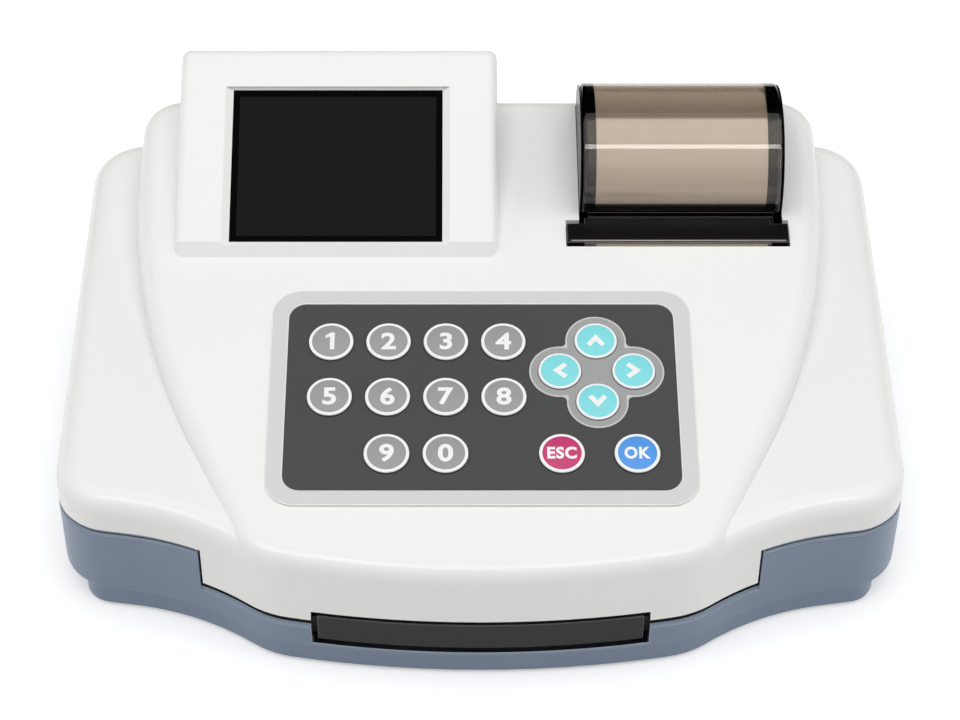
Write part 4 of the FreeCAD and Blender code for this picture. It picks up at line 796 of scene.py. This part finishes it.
# printer: black liners at the sides of its well as painted shade in the gaps, round cheeks there, and a painted
# highlight line along the bar's front edge
printer = {"shadeLiners": (33.44, 101.16), "shadeLinerThick": 0.22, "front": 39.3, "rear": 89.0, "foot": 60.0,
           "cheeks": (33.56, 100.86), "cheekRadius": 24.9, "cheekThick": 0.3, "cheekFoot": 74.9,
           "cheekSoften": 0.05, "axis": (66.0, 78.4), "deckRise": 0.19438, "underDeck": 0.5,
           "lineFrom": 30.6, "lineTo": 102.0, "lineWide": 0.40, "lineY": 30.25, "lineZ": 72.53,
           "lineTilt": 26.6, "lineRaise": 0.12, "lineSoften": 0.1}


# painted shade: thin black sheets on the well's side walls stand in for the shadow in the gaps beside the cover
def makeWellShadeLiners():
    corner = deck["corner"] / mm
    tops = [corner.z + (y - corner.y) * printer["deckRise"] - printer["underDeck"]
            for y in (printer["front"], printer["rear"])]
    outline = [(printer["front"], printer["foot"]), (printer["rear"], printer["foot"]),
               (printer["rear"], tops[1]), (printer["front"], tops[0])]
    for name, x in zip(("left", "right"), printer["shadeLiners"]):
        shape = raisedShape(outline, printer["shadeLinerThick"] / 2)
        stand = Matrix(((0, 0, 1, x + printer["shadeLinerThick"] / 2), (1, 0, 0, 0), (0, 1, 0, 0), (0, 0, 0, 1)))
        bmesh.ops.transform(shape, matrix=Matrix.Scale(mm, 4) @ stand, verts=shape.verts)
        bmesh.ops.recalc_face_normals(shape, faces=shape.faces)
        finishPiece("well_shade_liner_" + name, shape, printerBlack, "housing")


# round black cheeks in the gaps beside the cover
def makeCheeks():
    for name, x in zip(("left", "right"), printer["cheeks"]):
        shape = discShape(printer["cheekRadius"], printer["cheekThick"], printer["cheekSoften"])
        stand = Matrix(((0, 0, 1, x), (1, 0, 0, printer["axis"][0]),
                        (0, 1, 0, printer["axis"][1]), (0, 0, 0, 1)))
        bmesh.ops.transform(shape, matrix=stand, verts=shape.verts)
        whole = shape.verts[:] + shape.edges[:] + shape.faces[:]
        cut = bmesh.ops.bisect_plane(shape, geom=whole, plane_co=(0, 0, printer["cheekFoot"]),
                                     plane_no=(0, 0, -1), clear_outer=True)
        bmesh.ops.holes_fill(shape, edges=[e for e in cut["geom_cut"] if isinstance(e, bmesh.types.BMEdge)])
        bmesh.ops.scale(shape, vec=(mm, mm, mm), verts=shape.verts)
        bmesh.ops.recalc_face_normals(shape, faces=shape.faces)
        finishPiece("well_cheek_" + name, shape, printerBlack, "housing")


# painted highlight: a light steel strip stands along the bar's front edge
def makeBarHighlightLine():
    shape = bmesh.new()
    bmesh.ops.create_grid(shape, x_segments=1, y_segments=1, size=0.5)
    long = printer["lineTo"] - printer["lineFrom"]
    bmesh.ops.scale(shape, vec=(long, printer["lineWide"], 1), verts=shape.verts)
    line = raiseFaces(shape, shape.faces[:], printer["lineRaise"], use_keep_orig=True)
    softenRim(shape, line, printer["lineSoften"])
    place = Matrix.Translation((printer["lineFrom"] + long / 2, printer["lineY"], printer["lineZ"]))
    turn = Matrix.Rotation(radians(printer["lineTilt"]), 4, "X")
    bmesh.ops.transform(shape, matrix=Matrix.Scale(mm, 4) @ place @ turn, verts=shape.verts)
    bmesh.ops.recalc_face_normals(shape, faces=shape.faces)
    finishPiece("bar_highlight_line", shape, bladeSteel, "door")


makeWellShadeLiners()
makeCheeks()
makeBarHighlightLine()
print("printer trimmed")


# rear sockets: the serial socket's metal shell with its two posts, and the marks on the mains rocker
serial = {"wide": 16.8, "narrow": 14.6, "tall": 8.4, "corner": 2.0, "proud": 1.5, "wall": 0.55, "deep": 1.35,
          "postAcross": 12.5, "postRadius": 2.3, "postTall": 1.6, "postBore": 1.1, "postDeep": 0.8}
rocker = {"axis": (72.0, 91.6), "half": 7.5, "face": 2.5, "tilt": 8, "barTall": 3.4, "barWide": 0.55,
          "ringRadius": 1.7, "ringWall": 0.5, "raise": 0.05}


# shapes are made flat with z outwards, then stood against the rear wall
def toRear(shape, x, y, z, turn=0.0):
    stand = Matrix.Rotation(turn, 4, "Z") @ Matrix.Rotation(pi, 4, "Z") @ Matrix.Rotation(pi / 2, 4, "X")
    bmesh.ops.scale(shape, vec=(mm, mm, mm), verts=shape.verts)
    bmesh.ops.transform(shape, matrix=Matrix.Translation(Vector((x, y, z)) * mm) @ stand, verts=shape.verts)
    bmesh.ops.recalc_face_normals(shape, faces=shape.faces)


def makeSerialShell():
    low, high = (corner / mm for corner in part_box("serial_port"))
    x, y, z = (low.x + high.x) / 2, high.y, (low.z + high.z) / 2
    shape = bmesh.new()
    bmesh.ops.create_grid(shape, x_segments=1, y_segments=1, size=0.5)
    for vert in shape.verts:
        wide = serial["wide"] if vert.co.y > 0 else serial["narrow"]
        vert.co.x *= wide
        vert.co.y *= serial["tall"]
    bmesh.ops.bevel(shape, geom=shape.verts[:], offset=serial["corner"], affect="VERTICES", segments=5,
                    profile=0.5, material=-1)
    cap = raiseFaces(shape, shape.faces[:], serial["proud"])
    bmesh.ops.inset_region(shape, faces=cap, thickness=serial["wall"])
    for face in sinkFaces(shape, cap, serial["deep"]):
        face.material_index = 1
    toRear(shape, x, y, z)
    piece = finishPiece("serial_shell", shape, connectorSteel, "housing")
    piece.data.materials.append(connectorBlack)
    for side, name in ((-1, "left"), (1, "right")):
        post = bmesh.new()
        bmesh.ops.create_circle(post, cap_ends=True, segments=6, radius=serial["postRadius"])
        cap = raiseFaces(post, post.faces[:], serial["postTall"])
        bmesh.ops.inset_region(post, faces=cap, thickness=serial["postRadius"] - serial["postBore"])
        sinkFaces(post, cap, serial["postTall"] * serial["postDeep"])
        toRear(post, x + side * serial["postAcross"], y, z)
        finishPiece("serial_post_" + name, post, motorSteel, "housing")


def makeRockerMarks():
    low, high = (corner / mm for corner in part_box("power_rocker"))
    z = (low.z + high.z) / 2
    rise = rocker["half"] * tan(radians(rocker["tilt"]))
    rest = Matrix.Rotation(radians(-rocker["tilt"]), 3, "Z")
    for side, mark in ((-1, "off"), (1, "on")):
        spot = rest @ Vector((side * rocker["half"] / 2, rocker["face"] + rise / 2, 0))
        shape = bmesh.new()
        if mark == "on":
            bmesh.ops.create_grid(shape, x_segments=1, y_segments=1, size=0.5)
            bmesh.ops.scale(shape, vec=(rocker["barWide"], rocker["barTall"], 1), verts=shape.verts)
            raiseFaces(shape, shape.faces[:], rocker["raise"])
        else:
            bmesh.ops.create_circle(shape, cap_ends=True, segments=40, radius=rocker["ringRadius"])
            disc = shape.faces[:]
            bmesh.ops.inset_region(shape, faces=disc, thickness=rocker["ringWall"], use_boundary=True)
            bmesh.ops.delete(shape, geom=disc, context="FACES")
            raiseFaces(shape, shape.faces[:], rocker["raise"])
        turn = radians(rocker["tilt"] * (side - 1))
        toRear(shape, rocker["axis"][0] + spot.x, rocker["axis"][1] + spot.y, z, turn)
        finishPiece("rocker_mark_" + mark, shape, markWhite, "rocker")


makeSerialShell()
makeRockerMarks()
print("rear sockets and rocker finished")


# studio: pale floor, white surroundings, soft lamps above, in front and beside, a strip for reflections only
studio = {"floorSize": 8.0, "floorWhite": (0.88, 0.88, 0.88, 1), "floorLift": 0.34, "ambient": 0.15,
          "cardWide": 2.6, "cardTall": 1.3, "cardTilt": -55, "cardEdge": (0, 0.424, 1.01)}
softboxes = (
    {"name": "topSoftbox", "power": 15.4, "wide": 1.6, "high": 1.6, "location": (0, 0.1, 1.5),
     "target": (0, 0, 0)},
    {"name": "frontSoftbox", "power": 3.7, "wide": 1.4, "high": 0.8, "location": (0, -1.0, 1.0),
     "target": (0, 0, 0.05)},
    {"name": "sideSoftbox", "power": 5.0, "wide": 0.9, "high": 0.9, "location": (-1.3, -0.1, 0.75),
     "target": (0, 0, 0.05)},
    {"name": "sideSoftbox", "power": 5.0, "wide": 0.9, "high": 0.9, "location": (1.3, -0.1, 0.75),
     "target": (0, 0, 0.05)})
strip = {"power": 6.0, "long": 2.4, "high": 0.125, "distance": 1.1, "rise": radians(57),
         "aim": (0.06, 0.066, 0.078)}


def stagePiece(name, shape, material):
    mesh = bpy.data.meshes.new(name)
    shape.to_mesh(mesh)
    shape.free()
    mesh.materials.append(material)
    piece = bpy.data.objects.new(name, mesh)
    bpy.context.scene.collection.objects.link(piece)
    return piece


# 1 for rays that show a surface as itself, to the camera, in a reflection or through the cover
def seenRays(tree):
    rays = addNode(tree, "ShaderNodeLightPath")
    return maths(tree, "MAXIMUM", rays.outputs["Is Camera Ray"],
                 maths(tree, "MAXIMUM", rays.outputs["Is Glossy Ray"], rays.outputs["Is Transmission Ray"]))


def makeFloor():
    shape = bmesh.new()
    bmesh.ops.create_grid(shape, x_segments=2, y_segments=2, size=studio["floorSize"] / 2)
    material, tree, shader = newMaterial("floorPale", 0.9, Base_Color=studio["floorWhite"])
    glow = addNode(tree, "ShaderNodeEmission", {"Color": (1, 1, 1, 1)})
    tree.links.new(maths(tree, "MULTIPLY", seenRays(tree), studio["floorLift"]), glow.inputs["Strength"])
    both = addNode(tree, "ShaderNodeAddShader")
    tree.links.new(shader.outputs["BSDF"], both.inputs[0])
    tree.links.new(glow.outputs["Emission"], both.inputs[1])
    tree.links.new(both.outputs["Shader"], tree.nodes["Material Output"].inputs["Surface"])
    stagePiece("floor", shape, material)


def makeWorld():
    world = bpy.data.worlds.new("studio")
    bpy.context.scene.world = world
    world.use_nodes = True
    tree = world.node_tree
    sky = tree.nodes["Background"]
    sky.inputs["Color"].default_value = (1, 1, 1, 1)
    lift = maths(tree, "MULTIPLY", seenRays(tree), 1.0 - studio["ambient"])
    tree.links.new(maths(tree, "ADD", lift, studio["ambient"]), sky.inputs["Strength"])


def addLamp(name, power, wide, high, location, target, glossyOnly=False):
    light = bpy.data.lights.new(name, "AREA")
    light.shape = "RECTANGLE"
    light.energy = power
    light.size = wide
    light.size_y = high
    lamp = bpy.data.objects.new(name, light)
    bpy.context.scene.collection.objects.link(lamp)
    lamp.location = location
    lamp.rotation_euler = (Vector(target) - Vector(location)).to_track_quat("-Z", "Y").to_euler()
    lamp.visible_glossy = glossyOnly
    lamp.visible_diffuse = not glossyOnly


# a dark card above and behind, seen only in polished faces, keeps the black parts and the cover's top dark
def makeCard():
    shape = bmesh.new()
    bmesh.ops.create_grid(shape, x_segments=1, y_segments=1, size=0.5)
    bmesh.ops.scale(shape, vec=(studio["cardWide"], studio["cardTall"], 1), verts=shape.verts)
    bmesh.ops.translate(shape, vec=(0, studio["cardTall"] / 2, 0), verts=shape.verts)
    lean = Matrix.Rotation(radians(studio["cardTilt"]), 3, "X")
    bmesh.ops.rotate(shape, cent=(0, 0, 0), matrix=lean, verts=shape.verts)
    bmesh.ops.translate(shape, vec=studio["cardEdge"], verts=shape.verts)
    black = newMaterial("cardBlack", 1.0, Base_Color=(0, 0, 0, 1), Specular_IOR_Level=0.0)[0]
    card = stagePiece("darkCard", shape, black)
    for ray in ("camera", "diffuse", "transmission", "volume_scatter", "shadow"):
        setattr(card, "visible_" + ray, False)


makeFloor()
makeWorld()
makeCard()
for softbox in softboxes:
    addLamp(**softbox)
away = Vector((0, -cos(strip["rise"]), sin(strip["rise"]))) * strip["distance"]
addLamp("frontStrip", strip["power"], strip["long"], strip["high"], Vector(strip["aim"]) + away, strip["aim"],
        glossyOnly=True)
print("studio lit")

# the photograph's viewpoint: 44 degrees above the table, straight ahead
view = {"lens": 97.5, "sensor": 36, "shift": 20 / 960, "location": (-0.00644, -0.61891, 0.64415),
        "elevation": 44}
eye = bpy.data.cameras.new("eye")
eye.lens = view["lens"]
eye.sensor_width = view["sensor"]
eye.shift_x = view["shift"]
camera = bpy.data.objects.new("eye", eye)
bpy.context.scene.collection.objects.link(camera)
camera.location = view["location"]
camera.rotation_euler = (radians(90 - view["elevation"]), 0, 0)
bpy.context.scene.camera = camera
bpy.context.scene.view_settings.view_transform = "Standard"
